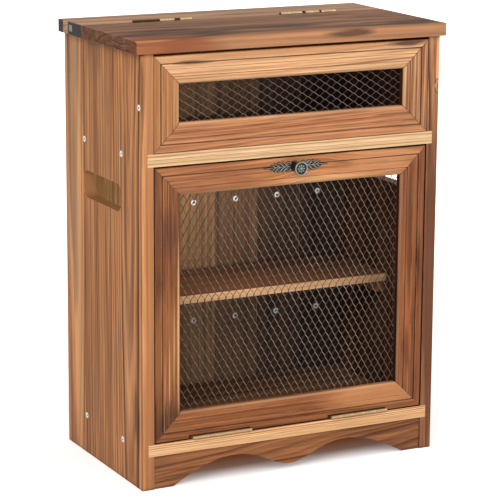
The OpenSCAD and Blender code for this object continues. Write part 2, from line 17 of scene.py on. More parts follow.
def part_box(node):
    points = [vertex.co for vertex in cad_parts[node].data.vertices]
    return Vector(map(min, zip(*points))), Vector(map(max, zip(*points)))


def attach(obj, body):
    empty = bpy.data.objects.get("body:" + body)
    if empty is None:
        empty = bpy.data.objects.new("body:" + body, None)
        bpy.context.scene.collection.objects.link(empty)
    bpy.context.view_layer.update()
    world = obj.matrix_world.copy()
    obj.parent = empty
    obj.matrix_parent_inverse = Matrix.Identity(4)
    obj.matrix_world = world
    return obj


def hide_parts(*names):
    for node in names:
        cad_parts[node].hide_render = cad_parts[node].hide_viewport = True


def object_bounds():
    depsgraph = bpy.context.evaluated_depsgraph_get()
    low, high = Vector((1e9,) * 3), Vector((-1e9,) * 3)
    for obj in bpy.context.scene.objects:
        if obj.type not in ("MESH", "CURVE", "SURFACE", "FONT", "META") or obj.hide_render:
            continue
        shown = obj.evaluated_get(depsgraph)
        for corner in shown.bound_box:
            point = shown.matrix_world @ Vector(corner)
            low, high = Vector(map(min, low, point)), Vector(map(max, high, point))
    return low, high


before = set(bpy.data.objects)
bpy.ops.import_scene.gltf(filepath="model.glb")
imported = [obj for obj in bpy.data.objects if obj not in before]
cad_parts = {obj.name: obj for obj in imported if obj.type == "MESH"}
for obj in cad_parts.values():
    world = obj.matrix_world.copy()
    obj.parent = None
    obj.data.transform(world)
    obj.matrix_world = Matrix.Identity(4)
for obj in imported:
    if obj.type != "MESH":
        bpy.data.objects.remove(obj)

SIZE_BEFORE = [list(corner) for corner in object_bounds()]
PIECES = {"cabinet": [], "lid": [], "door": []}
MM = 0.001


def box(name):
    """The lowest and the highest corner of a CAD node."""
    low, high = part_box(name)
    return Vector(low), Vector(high)


FRONT = box("side_panel_left")[0].y
print("CAD nodes:", len(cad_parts), "carcass front plane at y =", round(FRONT, 4))

# %% [markdown]
# ## Camera
# The photograph was taken from left of the middle, a little above the lid and from far away, because
# the upright edges hardly lean. The eye's place and turns were solved from the carcass edges.

# %% Camera at the photograph's viewing angle
LENS_MM = 163.39
EYE = (-1.481, FRONT - 2.763, 1.0415)
EYE_TURNS = (77.14517, -0.3644, -26.99169)  # degrees about x, y and z

photo_camera = bpy.data.cameras.new("Photo camera")
photo_camera.sensor_fit = "HORIZONTAL"
photo_camera.sensor_width = 36
photo_camera.lens = LENS_MM
photo_camera.clip_end = 50
eye = bpy.data.objects.new("Photo camera", photo_camera)
turn = Euler([math.radians(a) for a in EYE_TURNS]).to_matrix().to_4x4()
eye.matrix_world = Matrix.Translation(EYE) @ turn
bpy.context.scene.collection.objects.link(eye)
bpy.context.scene.camera = eye
bpy.context.scene.view_settings.view_transform = "Standard"
print("camera at", [round(v, 3) for v in eye.location], "lens", photo_camera.lens, "mm")

# %% [markdown]
# ## Node helpers
# A finish is a small network of nodes. These helpers add one node each and link what goes into it,
# so that a finish can be written as a short sum and read from top to bottom.

# %% Colours and single nodes
def colour(r, g, b):
    """A colour given as 0 to 255 screen values, turned into the renderer's own."""
    def one(v):
        v /= 255
        return v / 12.92 if v <= 0.04045 else ((v + 0.055) / 1.055) ** 2.4
    return (one(r), one(g), one(b), 1.0)


def ready(shade):
    """Three screen values become a colour; four values are one already."""
    return colour(*shade) if len(shade) == 3 else shade


def node(tree, kind, values=None, **settings):
    """Adds a shader or geometry node. A value that is a socket is linked, any other is set."""
    made = tree.nodes.new(kind)
    for key, value in settings.items():
        setattr(made, key, value)
    for key, value in (values or {}).items():
        socket = made.inputs[key]
        if isinstance(value, bpy.types.NodeSocket):
            tree.links.new(value, socket)
        else:
            socket.default_value = value
    return made


def new_group(name, kind, inputs, outputs):
    """An empty node group with named sockets, and what each input is called inside."""
    made = bpy.data.node_groups.new(name, kind)
    for label, socket in outputs:
        made.interface.new_socket(label, in_out="OUTPUT", socket_type="NodeSocket" + socket)
    names = {}
    for label, socket in inputs:
        added = made.interface.new_socket(label, in_out="INPUT", socket_type="NodeSocket" + socket)
        names[label] = added.identifier
    return made, names


def new_material(name):
    """An empty material and its tree."""
    made = bpy.data.materials.new(name)
    made.use_nodes = True
    made.node_tree.nodes.clear()
    return made, made.node_tree


print("mid grey in the renderer:", round(colour(128, 128, 128)[0], 3))

# %% Sums, ramps and blends
def sums(tree, how, a, b=0.0, c=0.0):
    return node(tree, "ShaderNodeMath", {0: a, 1: b, 2: c}, operation=how).outputs[0]


def product(tree, *factors):
    total = factors[0]
    for factor in factors[1:]:
        total = sums(tree, "MULTIPLY", total, factor)
    return total


def vectors(tree, how, a, b=(0.0, 0.0, 0.0)):
    made = node(tree, "ShaderNodeVectorMath", {0: a, 1: b}, operation=how)
    return made.outputs["Value" if how in ("LENGTH", "DOT_PRODUCT") else "Vector"]


def scaled(tree, vector, factor):
    return node(tree, "ShaderNodeVectorMath", {0: vector, "Scale": factor}, operation="SCALE").outputs[0]


def ramp(tree, value, *stops):
    """A grey ramp; each stop is a place and a level."""
    made = node(tree, "ShaderNodeValToRGB", {"Fac": value})
    marks = made.color_ramp.elements
    while len(marks) < len(stops):
        marks.new(0.5)
    for mark, (place, level) in zip(marks, stops):
        mark.position = place
        mark.color = (level, level, level, 1)
    return made.outputs["Color"]


def blend(tree, share, a, b, how="MIX"):
    made = node(tree, "ShaderNodeMix", data_type="RGBA", blend_type=how, clamp_factor=True)
    for place, value in ((0, share), (6, a), (7, b)):
        if isinstance(value, bpy.types.NodeSocket):
            tree.links.new(value, made.inputs[place])
        else:
            made.inputs[place].default_value = value
    return made.outputs[2]


def grey(tree, level):
    return node(tree, "ShaderNodeCombineColor", {0: level, 1: level, 2: level}).outputs[0]


def parts_of(tree, vector):
    return node(tree, "ShaderNodeSeparateXYZ", {0: vector}).outputs


def stretched_noise(tree, place, scale, detail=2.0, rough=0.5):
    """Noise with its own number of waves a metre along x, y and z."""
    values = {"Vector": vectors(tree, "MULTIPLY", place, scale), "Scale": 1.0, "Detail": detail,
              "Roughness": rough}
    return node(tree, "ShaderNodeTexNoise", values)


def centred_noise(tree, place, scale, detail=1.5):
    """A colour noise turned into a vector around zero."""
    noise = stretched_noise(tree, place, scale, detail).outputs["Color"]
    return vectors(tree, "SUBTRACT", noise, (0.5, 0.5, 0.5))


print("the world has", len(bpy.data.materials), "materials before the first finish")

# %% [markdown]
# ## Light
# The photograph is a studio one on white: broad light from the left front, a little from the right,
# soft shadows. The surroundings light the cabinet at half strength and show as plain white to the
# eye. Large rectangles of light give soft shadows. Two weak ones stand for light thrown into the bins.

# %% Pale room
ROOM_LIGHT = 0.55

world = bpy.data.worlds.new("Pale room")
world.use_nodes = True
bpy.context.scene.world = world
sky = world.node_tree
sky.nodes.clear()
ray = node(sky, "ShaderNodeLightPath")
seen = sums(sky, "MAXIMUM", ray.outputs["Is Camera Ray"], ray.outputs["Is Transmission Ray"])
room = sums(sky, "MULTIPLY_ADD", seen, 1 - ROOM_LIGHT, ROOM_LIGHT)
backdrop = node(sky, "ShaderNodeBackground", {"Color": (1, 1, 1, 1), "Strength": room})
sky.links.new(backdrop.outputs[0], node(sky, "ShaderNodeOutputWorld").inputs[0])
print("room lights the cabinet at", ROOM_LIGHT, "and shows as white")

# %% Lamps
def area_light(name, place, aim, width, height, power):
    data = bpy.data.lights.new(name, "AREA")
    data.shape = "RECTANGLE"
    data.size = width
    data.size_y = height
    data.energy = power
    made = bpy.data.objects.new(name, data)
    made.location = place
    made.rotation_euler = (Vector(aim) - Vector(place)).to_track_quat("-Z", "Y").to_euler()
    bpy.context.scene.collection.objects.link(made)
    return made


area_light("Key, high left front", (-1.9, -2.3, 2.4), (0, 0, 0.35), 1.8, 1.4, 62)
area_light("Fill, right front", (2.4, -1.6, 1.2), (0, 0, 0.3), 1.6, 1.6, 16)
area_light("Low front", (-0.3, -2.8, 0.5), (0, 0, 0.3), 2.0, 1.0, 14)
area_light("Side, right", (2.6, -0.3, 1.0), (0, FRONT, 0.3), 0.8, 1.2, 16)
BIN_BOUNCES = (
    ("Bounce inside the lower bin", (-0.06, FRONT + 0.03, 0.43), 0.22, 0.34),
    ("Bounce inside the upper bin", (0.0, FRONT + 0.03, 0.595), 0.34, 0.13),
)
for name, place, width, power in BIN_BOUNCES:
    bounce = area_light(name, place, (place[0], FRONT + 1, place[2]), width, 30 * MM, power)
    bounce.visible_camera = False
    bounce.visible_glossy = False

# %% [markdown]
# ## Pine
# A board is a slice of a log. On its face the year rings show as lines, close where the cut crosses
# them and wide where it runs along them. So the finish imagines the log: it measures how far a place
# lies from the heart line, divides by the ring width and darkens the end of each ring. A picture of
# wood could be wrapped round the board instead, but its lines would break at every edge. Noise bends
# the rings, draws fibres and slow streaks of stain, and scorches patches as a torch does.
# A place is given as across, through and along the board.

# %% The pine group's sockets
pine, _ = new_group(
    "Pine", "ShaderNodeTree",
    (("Place", "Vector"), ("Heart", "Vector"), ("Lean", "Vector"), ("Ring width", "Float"),
     ("Wave", "Float"), ("Lines", "Float"), ("Fine lines", "Float"), ("Streaks", "Float"),
     ("Scorch", "Float"), ("Light", "Color"), ("Middle", "Color"), ("Dark", "Color"), ("Char", "Color")),
    (("Colour", "Color"), ("Height", "Float"), ("Stain", "Float")))
given = node(pine, "NodeGroupInput").outputs
print("pine is told:", [socket.name for socket in given if socket.name])

# %% Rings round the heart line
SLOW_BENDS = (9.0, 9.0, 1.6)  # waves a metre across, through and along
RIPPLES = (75, 75, 8)
RIPPLE_REACH = 2.2 * MM
DRIFT_STEP = 0.37
DRIFT_REACH = 2.4  # rings
FINE_SHARE = 2.63  # fine lines for each coarse one

place = given["Place"]
bends = scaled(pine, centred_noise(pine, place, SLOW_BENDS), given["Wave"])
ripples = scaled(pine, centred_noise(pine, place, RIPPLES), RIPPLE_REACH)
lean = scaled(pine, given["Lean"], parts_of(pine, place)[2])
spot = vectors(pine, "ADD", vectors(pine, "ADD", place, bends), ripples)
spot = vectors(pine, "SUBTRACT", vectors(pine, "SUBTRACT", spot, lean), given["Heart"])
from_heart = vectors(pine, "LENGTH", vectors(pine, "MULTIPLY", spot, (1, 1, 0)))
rings = sums(pine, "DIVIDE", from_heart, given["Ring width"])
drift = node(pine, "ShaderNodeTexNoise", {"W": sums(pine, "MULTIPLY", rings, DRIFT_STEP), "Scale": 1.0,
                                          "Detail": 1.0}, noise_dimensions="1D").outputs[0]
rings = sums(pine, "MULTIPLY_ADD", drift, DRIFT_REACH, rings)


def late_wood(turns, weakest, *stops):
    """One dark line a ring, each ring with a strength of its own."""
    shape = ramp(pine, sums(pine, "FRACT", turns), *stops)
    year = {"W": sums(pine, "FLOOR", turns)}
    chance = node(pine, "ShaderNodeTexWhiteNoise", year, noise_dimensions="1D").outputs[0]
    return sums(pine, "MULTIPLY", shape, ramp(pine, chance, (0.0, weakest), (0.45, 0.45), (1.0, 1.0)))


coarse = late_wood(rings, 0.3, (0.0, 0.0), (0.48, 0.05), (0.70, 0.75), (0.84, 1.0), (0.97, 0.0))
finer = sums(pine, "MULTIPLY", rings, FINE_SHARE)
fine = late_wood(finer, 0.0, (0.0, 0.0), (0.45, 0.05), (0.8, 0.32), (1.0, 0.0))
early = late_wood(rings, 0.0, (0.0, 0.6), (0.16, 0.6), (0.36, 0.0))
line = sums(pine, "MAXIMUM", coarse, sums(pine, "MULTIPLY", fine, given["Fine lines"]))
paling = ramp(pine, stretched_noise(pine, place, (30, 30, 4.5), 2.0).outputs[0], (0.3, 0.4), (0.6, 1.0))
line = sums(pine, "MULTIPLY", line, paling)
print("ring nodes:", len(pine.nodes))

# %% Fibres, streaks of stain and scorch
GLEAM = 1.2  # how much paler than the light wood its brightest streaks are

fibre = stretched_noise(pine, place, (430, 430, 13), 3.0, 0.65).outputs[0]
narrow = stretched_noise(pine, place, (200, 200, 3.2), 2.0, 0.6).outputs[0]
broad = stretched_noise(pine, place, (52, 52, 2.1), 3.0, 0.62).outputs[0]
mixed = sums(pine, "MULTIPLY_ADD", narrow, 0.45, sums(pine, "MULTIPLY", broad, 0.55))
streak = ramp(pine, mixed, (0.38, 0.0), (0.61, 1.0))
gleam = ramp(pine, stretched_noise(pine, place, (300, 300, 2.4), 1.0).outputs[0], (0.60, 0.0), (0.70, 0.5))
scorched = stretched_noise(pine, place, (27, 27, 4.0), 4.0, 0.62).outputs[0]
burnt = ramp(pine, scorched, (0.53, 0.0), (0.66, 1.0))

tone = blend(pine, product(pine, streak, given["Streaks"]), given["Light"], given["Middle"])
tone = blend(pine, sums(pine, "MAXIMUM", gleam, early), tone, scaled(pine, given["Light"], GLEAM))
tone = blend(pine, product(pine, line, given["Lines"]), tone, given["Dark"])
tone = blend(pine, product(pine, burnt, given["Scorch"]), tone, given["Char"])
tone = blend(pine, 1.0, tone, ramp(pine, fibre, (0.26, 0.70), (0.5, 1.0), (0.74, 1.26)), "MULTIPLY")
height = sums(pine, "MULTIPLY_ADD", line, 0.7, sums(pine, "MULTIPLY", fibre, 0.3))
node(pine, "NodeGroupOutput", {"Colour": tone, "Height": height, "Stain": streak})
print("pine group with", len(pine.nodes), "nodes")

# %% [markdown]
# ## A stained board
# The maker glues boards up, stains them, scorches them, and the edges rub pale in use. The finish
# does the same in that order on top of the pine group. Each step is a helper that takes the tone so
# far and gives it back changed. Corners are darkened as painted shade where ambient occlusion finds
# them, and the Bevel node finds the arrises that rub pale.

# %% Glue joints, ragged patches and straight ones
JOINT_HALF = 0.5 * MM
BOARD_JUMP = (13 * MM, 0.37)  # how far the next board's log is moved through and along


def glued(tree, across, place, boards):
    """Moves the log past each glue joint; gives the place, the joints and how much lighter it gets."""
    seam = lift = None
    for edge, shift, gain in boards:
        past = sums(tree, "GREATER_THAN", across, edge)
        place = vectors(tree, "ADD", place, scaled(tree, (shift, *BOARD_JUMP), past))
        off = sums(tree, "ABSOLUTE", sums(tree, "SUBTRACT", across, edge))
        near = sums(tree, "LESS_THAN", off, JOINT_HALF)
        more = sums(tree, "MULTIPLY", past, gain)
        seam = near if seam is None else sums(tree, "MAXIMUM", seam, near)
        lift = more if lift is None else sums(tree, "ADD", lift, more)
    return place, seam, lift


def ragged(tree, place, wobble, centre, size, shake, *stops):
    """How far a place lies inside a soft, ragged oval."""
    off = vectors(tree, "DIVIDE", vectors(tree, "SUBTRACT", place, centre), size)
    off = vectors(tree, "ADD", off, scaled(tree, wobble, shake))
    return ramp(tree, vectors(tree, "LENGTH", off), *stops)


def straight_patch(tree, tone, place, centre, half, shade):
    """A patch with straight edges that fade over less than a millimetre."""
    off = vectors(tree, "ABSOLUTE", vectors(tree, "SUBTRACT", place, centre))
    off = parts_of(tree, vectors(tree, "SUBTRACT", off, half))
    off = sums(tree, "MAXIMUM", off[0], sums(tree, "MAXIMUM", off[1], off[2]))
    return blend(tree, sums(tree, "MULTIPLY_ADD", off, -1.2 / MM, 0.5), tone, ready(shade))


def side_shade_and_tone(tree, tone, normal, axis, sign, strength, shade):
    """Tints the sides that look one way along an axis, or both ways for sign 0: mostly painted shade
    and light on sides by how light falls on them, and the darker end grain of the lid.
    """
    facing = sums(tree, "MULTIPLY", normal[axis], float(sign or 1))
    facing = facing if sign else sums(tree, "ABSOLUTE", facing)
    return blend(tree, ramp(tree, facing, (0.6, 0.0), (0.8, strength)), tone, ready(shade), "MULTIPLY")


print("glue joint", 2 * JOINT_HALF / MM, "mm wide")

# %% The frame members' moulding
# Shades across a member, from its outer edge (0) to its inner one (1): a place and a strength.
# dark bands: stain and painted shade in the grooves; at the outer edge, scorch and painted shadow of the gap
DARK_BANDS = (
    (0.0, 0.95), (0.03, 0.6), (0.05, 0.0), (0.250, 0.0), (0.268, 0.55), (0.300, 0.55), (0.322, 0.0),
    (0.458, 0.0), (0.470, 0.4), (0.490, 0.4), (0.502, 0.0), (0.640, 0.0), (0.655, 0.4), (0.672, 0.0),
    (0.738, 0.0), (0.752, 0.45), (0.768, 0.0), (0.82, 0.0), (0.835, 0.5), (0.86, 0.0),
)
PALE_BANDS = ((0.335, 0.0), (0.35, 0.5), (0.375, 0.0), (0.515, 0.0), (0.53, 0.5), (0.56, 0.0))
PALE_GROOVE = colour(224, 170, 122)
PALE_LIP = colour(238, 196, 152)
MITRE = colour(60, 34, 24)
MEMBER_WIDTH = 40 * MM


def moulding(tree, tone, here, place, dark, grooves, grooved, lip):
    """Stain and painted shade in the grooves, strongest near the mitres, a dark outer edge of scorch
    and painted shadow, a pale inner lip and the dark mitre itself.
    grooves tells the axis across, its outer edge and way in, the axis along and both ends."""
    axis, edge, way, along, low_end, high_end = grooves
    depth = product(tree, sums(tree, "SUBTRACT", here[axis], edge), way / MEMBER_WIDTH)
    patchy = ramp(tree, stretched_noise(tree, place, (40, 40, 10), 2.0).outputs[0], (0.36, 0.25), (0.6, 1.0))
    from_end = sums(tree, "MINIMUM", sums(tree, "SUBTRACT", here[along], low_end),
                    sums(tree, "SUBTRACT", high_end, here[along]))
    near = ramp(tree, product(tree, from_end, 10.0), (0.45, grooved[0]), (0.95, grooved[1]))
    tone = blend(tree, product(tree, ramp(tree, depth, *DARK_BANDS), patchy, near), tone, ready(dark))
    tone = blend(tree, product(tree, ramp(tree, depth, *PALE_BANDS), patchy, near), tone, PALE_GROOVE)
    inner = ramp(tree, depth, (0.91, 0.0), (0.945, lip), (0.985, lip), (1.0, lip * 0.4))
    tone = blend(tree, product(tree, inner, sums(tree, "MULTIPLY_ADD", patchy, 0.5, 0.5)), tone, PALE_LIP)
    off_mitre = sums(tree, "ABSOLUTE", sums(tree, "MULTIPLY_ADD", depth, -MEMBER_WIDTH, from_end))
    mitre = ramp(tree, product(tree, off_mitre, 0.4 / MM), (0.25, 0.75), (0.5, 0.0))
    return blend(tree, mitre, tone, MITRE)


print("member width", round(MEMBER_WIDTH / MM, 2), "mm,", len(DARK_BANDS), "marks across it")

# %% Painted shade in corners and rubbed arrises
CORNER_SHADE_COLOUR = colour(50, 30, 24)
RUBBED_WOOD = colour(232, 180, 132)
CORNER_SHADE_REACH = 6 * MM
ARRIS_REACH = 1.1 * MM


def in_corners(tree, reach, *stops):
    """Finds corners: ambient occlusion measures how much is shut off within reach."""
    shut = node(tree, "ShaderNodeAmbientOcclusion", {"Distance": reach}, samples=6).outputs["AO"]
    return ramp(tree, shut, *stops)


def on_arrises(tree, radius, *stops):
    """Finds arrises: there the Bevel node's soft normal turns away from the true one."""
    soft = node(tree, "ShaderNodeBevel", {"Radius": radius}, samples=4).outputs[0]
    flat = node(tree, "ShaderNodeNewGeometry").outputs["True Normal"]
    return ramp(tree, vectors(tree, "DOT_PRODUCT", soft, flat), *stops)


def shading_and_wear(tree, tone, place, worn):
    """Painted shade where two faces meet, and arrises rubbed pale here and there."""
    # corners darkened by ambient occlusion: painted shade
    corner_shading = in_corners(tree, CORNER_SHADE_REACH, (0.25, 0.8), (0.85, 0.0))
    tone = blend(tree, corner_shading, tone, CORNER_SHADE_COLOUR)
    rubbed = on_arrises(tree, ARRIS_REACH, (0.80, 1.0), (0.985, 0.0))
    rubbed = product(tree, rubbed, sums(tree, "SUBTRACT", 1.0, corner_shading))
    patches = stretched_noise(tree, place, (120, 120, 30), 2.0).outputs[0]
    chance = ramp(tree, patches, (0.35, 0.1), (0.6, 1.0))
    return blend(tree, product(tree, rubbed, chance, worn), tone, RUBBED_WOOD)


def surface(tree, tone, gloss, height, strength, depth, more):
    """Puts the tone, the gloss and low ridges on the surface."""
    ridges = node(tree, "ShaderNodeBump", {"Height": height, "Strength": strength, "Distance": depth})
    values = {"Base Color": tone, "Roughness": gloss, "Normal": ridges.outputs[0], **more}
    skin = node(tree, "ShaderNodeBsdfPrincipled", values)
    tree.links.new(skin.outputs[0], node(tree, "ShaderNodeOutputMaterial").inputs[0])


print("dirt gathers within", CORNER_SHADE_REACH / MM, "mm, arrises rub within", ARRIS_REACH / MM, "mm")

# %% The whole finish
TAN = (208, 150, 100)
BROWN = (166, 106, 68)
LATE = (96, 54, 34)
CHAR = (74, 46, 38)

# which coordinate runs across, through and along the board
ORDER = {"X": "YZX", "Xz": "ZYX", "Z": "XYZ", "Zy": "YXZ"}


def stained_pine(name, grain, heart, ring=5.0, wave=0.02, lines=0.85, fine=1.0, streaks=0.9, scorch=0.25,
                 light=TAN, middle=BROWN, dark=LATE, char=CHAR, lean=(0, 0), bow=None, boards=(), tint=(),
                 flames=(), knots=(), stains=(), faces=(), grooves=None, grooved=(1.0, 0.2), lip=0.45,
                 worn=0.5, rough=0.55):
    """A pine board. heart is the log's centre (across, through) in metres, ring the ring width in mm,
    lean the log's slope along the board, which draws arches. bow (place along, reach, depth) bends
    the grain sideways. boards are glue joints (place across, shift of the heart, lightening).
    tint is a soft patch (centre, size, strength, colour), flames are scorched ones (centre, size,
    strength), knots are (centre, size), stains are straight patches (centre, half size, colour)
    and faces are tinted sides, mostly painted shade (axis, sign, strength, colour). grooves, grooved
    and lip draw a moulding."""
    made, tree = new_material(name)
    coordinates = node(tree, "ShaderNodeTexCoord")
    place = coordinates.outputs["Object"]
    here = parts_of(tree, place)
    axes = [here[axis] for axis in ORDER[grain]]
    across = axes[0]
    if bow:
        spread = sums(tree, "DIVIDE", sums(tree, "SUBTRACT", axes[2], bow[0]), bow[1])
        spread = sums(tree, "EXPONENT", product(tree, product(tree, spread, spread), -1.0))
        axes[0] = sums(tree, "MULTIPLY_ADD", spread, -bow[2], axes[0])
    turned = node(tree, "ShaderNodeCombineXYZ", dict(enumerate(axes))).outputs[0]
    turned, seam, lift = glued(tree, across, turned, boards)
    log = node(tree, "ShaderNodeGroup", {
        "Place": turned, "Heart": (*heart, 0), "Lean": (*lean, 0), "Ring width": ring * MM, "Wave": wave,
        "Lines": lines, "Fine lines": fine, "Streaks": streaks, "Scorch": scorch, "Light": ready(light),
        "Middle": ready(middle), "Dark": ready(dark), "Char": ready(char)}, node_tree=pine)
    tone = log.outputs["Colour"]
    if boards:
        tone = blend(tree, 1.0, tone, grey(tree, sums(tree, "ADD", lift, 1.0)), "MULTIPLY")
        tone = blend(tree, product(tree, seam, 0.6), tone, ready(char))
    wobble = centred_noise(tree, turned, (70, 70, 12), 3.0)
    for centre, size, strength, shade in tint:
        mask = ragged(tree, place, wobble, centre, size, 0.5, (0.5, 1.0), (1.0, 0.0))
        tone = blend(tree, product(tree, mask, strength), tone, ready(shade))
    for centre, size, strength in flames:
        mask = ragged(tree, place, wobble, centre, size, 1.5, (0.45, 1.0), (1.0, 0.0))
        tone = blend(tree, product(tree, mask, strength), tone, ready(char))
    for centre, size in knots:
        mask = ragged(tree, place, wobble, centre, size, 0.35,
                      (0.0, 0.85), (0.35, 0.35), (0.7, 0.1), (0.84, 0.8), (1.0, 0.0))
        tone = blend(tree, mask, tone, ready(dark))
    if grooves:
        tone = moulding(tree, tone, here, turned, dark, grooves, grooved, lip)
    for patch in stains:
        tone = straight_patch(tree, tone, place, *patch)
    normal = parts_of(tree, coordinates.outputs["Normal"])
    for side in faces:
        tone = side_shade_and_tone(tree, tone, normal, *side)
    tone = shading_and_wear(tree, tone, turned, worn)
    gloss = sums(tree, "MULTIPLY_ADD", log.outputs["Stain"], 0.12, rough)
    surface(tree, tone, gloss, log.outputs["Height"], 0.4, 0.4 * MM, {"Specular IOR Level": 0.2})
    return made


print("grain can run along", sorted({order[2] for order in ORDER.values()}))

# %% [markdown]
# ## Boards
# A planed board has its arrises eased with sandpaper, and the light catches them. So each wooden
# node is copied, its coplanar triangles joined into whole faces, and its sharp edges rounded with
# the Bevel modifier. Modelling the boards again would also work, but the copy keeps every dado and
# hole of the CAD. The finished copy is handed to its body and takes the node's place.

# %% From a CAD node to a finished piece
ARRIS = 0.8 * MM
SAME_POINT = 2e-6  # points of the CAD mesh nearer than this are one
AT_THE_SIDE = 1e-5


def size_mm(name):
    """The size of a CAD node in whole millimetres, to print."""
    low, high = box(name)
    return [round(v / MM) for v in high - low]


def own_copy(name, label):
    """A copy of a CAD node as a clean mesh, ready for bevels."""
    made = bpy.data.objects.new(label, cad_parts[name].data.copy())
    made.data.materials.clear()
    bpy.context.scene.collection.objects.link(made)
    work = bmesh.new()
    work.from_mesh(made.data)
    bmesh.ops.remove_doubles(work, verts=work.verts, dist=SAME_POINT)
    bmesh.ops.dissolve_limit(work, angle_limit=math.radians(0.3), verts=work.verts, edges=work.edges)
    work.to_mesh(made.data)
    work.free()
    return made


def ease(obj, width, steps):
    """Rounds the sharp edges and keeps the result as plain mesh."""
    mod = obj.modifiers.new("Eased arris", "BEVEL")
    mod.width = width
    mod.segments = steps
    mod.limit_method = "ANGLE"
    mod.angle_limit = math.radians(30)
    mod.harden_normals = False
    mod.use_clamp_overlap = True
    plain = bpy.data.meshes.new_from_object(obj.evaluated_get(bpy.context.evaluated_depsgraph_get()))
    obj.modifiers.clear()
    obj.data = plain
    for face in plain.polygons:
        face.use_smooth = True
    plain.set_sharp_from_angle(angle=math.radians(28))
    return obj


def part_of(obj, body, node_name):
    """Hands a finished piece to its CAD body, in place of its CAD node."""
    obj.name = obj.name.replace(",", "").replace(" ", "_")
    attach(obj, body)
    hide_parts(node_name)
    PIECES[body].append(obj.name)
    return obj


def board(name, label, body, material, width=ARRIS, steps=2, widen=0.0):
    """A dressed copy of a CAD node. widen moves its outermost sides along x a little further out,
    which closes the hairline to the next board."""
    made = own_copy(name, label)
    low, high = box(name)
    for v in made.data.vertices:
        if min(v.co.x - low.x, high.x - v.co.x) < AT_THE_SIDE:
            v.co.x += widen if high.x - v.co.x < AT_THE_SIDE else -widen
    made = ease(made, width, steps)
    made.data.materials.append(material)
    return part_of(made, body, name)


print("arrises are eased by", ARRIS / MM, "mm; the shelf measures", size_mm("shelf"), "mm")

# %% [markdown]
# ## Side panels
# Each side is glued up from three boards, so the lines of the log break at two joints. The left one
# is lit and shows all of its face: a darker board in the middle, a paler one behind, and a dark
# line under the lid, which is a painted shadow. The inner faces of both are painted shade. Of the
# right one only the front edge shows, and the rest is guessed.

# %% Left side panel
Y = FRONT
SIDE_JOINTS = ((Y + 0.105, 0.31, -0.10), (Y + 0.203, -0.515, 0.34))

left_pine = stained_pine(
    "Left side pine", "Zy", (Y + 0.035, -0.27), ring=7.0, wave=0.024, boards=SIDE_JOINTS, lean=(0.0, 0.02),
    scorch=0.08, light=(212, 147, 93), middle=(149, 91, 55), dark=(80, 43, 27), lines=1.3,
    flames=(((-0.235, Y + 0.019, 0.10), (0.02, 0.011, 0.06), 0.6),
            ((-0.235, Y + 0.16, 0.60), (0.02, 0.03, 0.05), 0.35),
            ((-0.235, Y + 0.008, 0.54), (0.02, 0.004, 0.07), 0.6)),
    tint=(((-0.235, Y + 0.222, 0.25), (0.02, 0.013, 0.5), 0.55, (206, 160, 108)),
          ((-0.235, Y + 0.262, 0.3), (0.02, 0.008, 0.4), 0.5, (186, 116, 62)),
          ((-0.235, Y + 0.235, 0.45), (0.02, 0.035, 0.32), 0.4, (218, 166, 120)),
          ((-0.2225, Y, 0.62), (0.012, 0.003, 0.25), 0.75, (176, 122, 80)),
          ((-0.2225, Y, 0.1), (0.012, 0.003, 0.6), 0.7, (168, 110, 68)),
          ((-0.2338, Y, 0.57), (0.0026, 0.004, 0.07), 0.7, (92, 60, 38)),
          # painted shadow: a dark line along the top, under the lid
          ((-0.235, Y + 0.13, 0.617), (0.01, 0.5, 0.0035), 0.9, (44, 28, 20))),
    stains=(((-0.2257, Y + 0.1355, 0.406), (0.0088, 0.068, 0.0212), (140, 97, 59)),),
    # the inner face is darkened as painted shade
    faces=(("X", 1, 0.8, (150, 118, 96)),))
board("side_panel_left", "Left side panel", "cabinet", left_pine)
print("left side panel: joints", [round((j[0] - Y) / MM) for j in SIDE_JOINTS], "mm behind the front")

# %% Right side panel
right_pine = stained_pine(
    "Right side pine", "Zy", (Y + 0.05, 0.265), ring=4.8, wave=0.028, lean=(0.0, -0.02), boards=SIDE_JOINTS,
    scorch=0.5, light=(192, 134, 88), middle=(128, 78, 50), dark=(74, 42, 28), lines=1.4,
    knots=(((0.2336, Y, 0.545), (0.006, 0.02, 0.012)),),
    tint=(((0.23, Y, 0.26), (0.03, 0.03, 0.30), 0.9, (98, 57, 37)),
          ((0.2325, Y, 0.585), (0.0035, 0.004, 0.05), 0.8, (232, 164, 112)),
          ((0.2315, Y, 0.545), (0.005, 0.006, 0.004), 0.6, (232, 170, 118))),
    # the inner face is darkened as painted shade
    faces=(("X", -1, 0.9, (102, 86, 76)),))
board("side_panel_right", "Right side panel", "cabinet", right_pine)
print("right side panel", size_mm("side_panel_right"), "mm")

# %% [markdown]
# ## Lid and rear strip
# The lid is the most scorched board, with reddish and pale patches along its front edge, and a
# painted highlight on its rounded top front arris at the left. The strip behind it is paler, and
# grey at its left end. Their arrises are rounder than those of the carcass, because hands touch them.

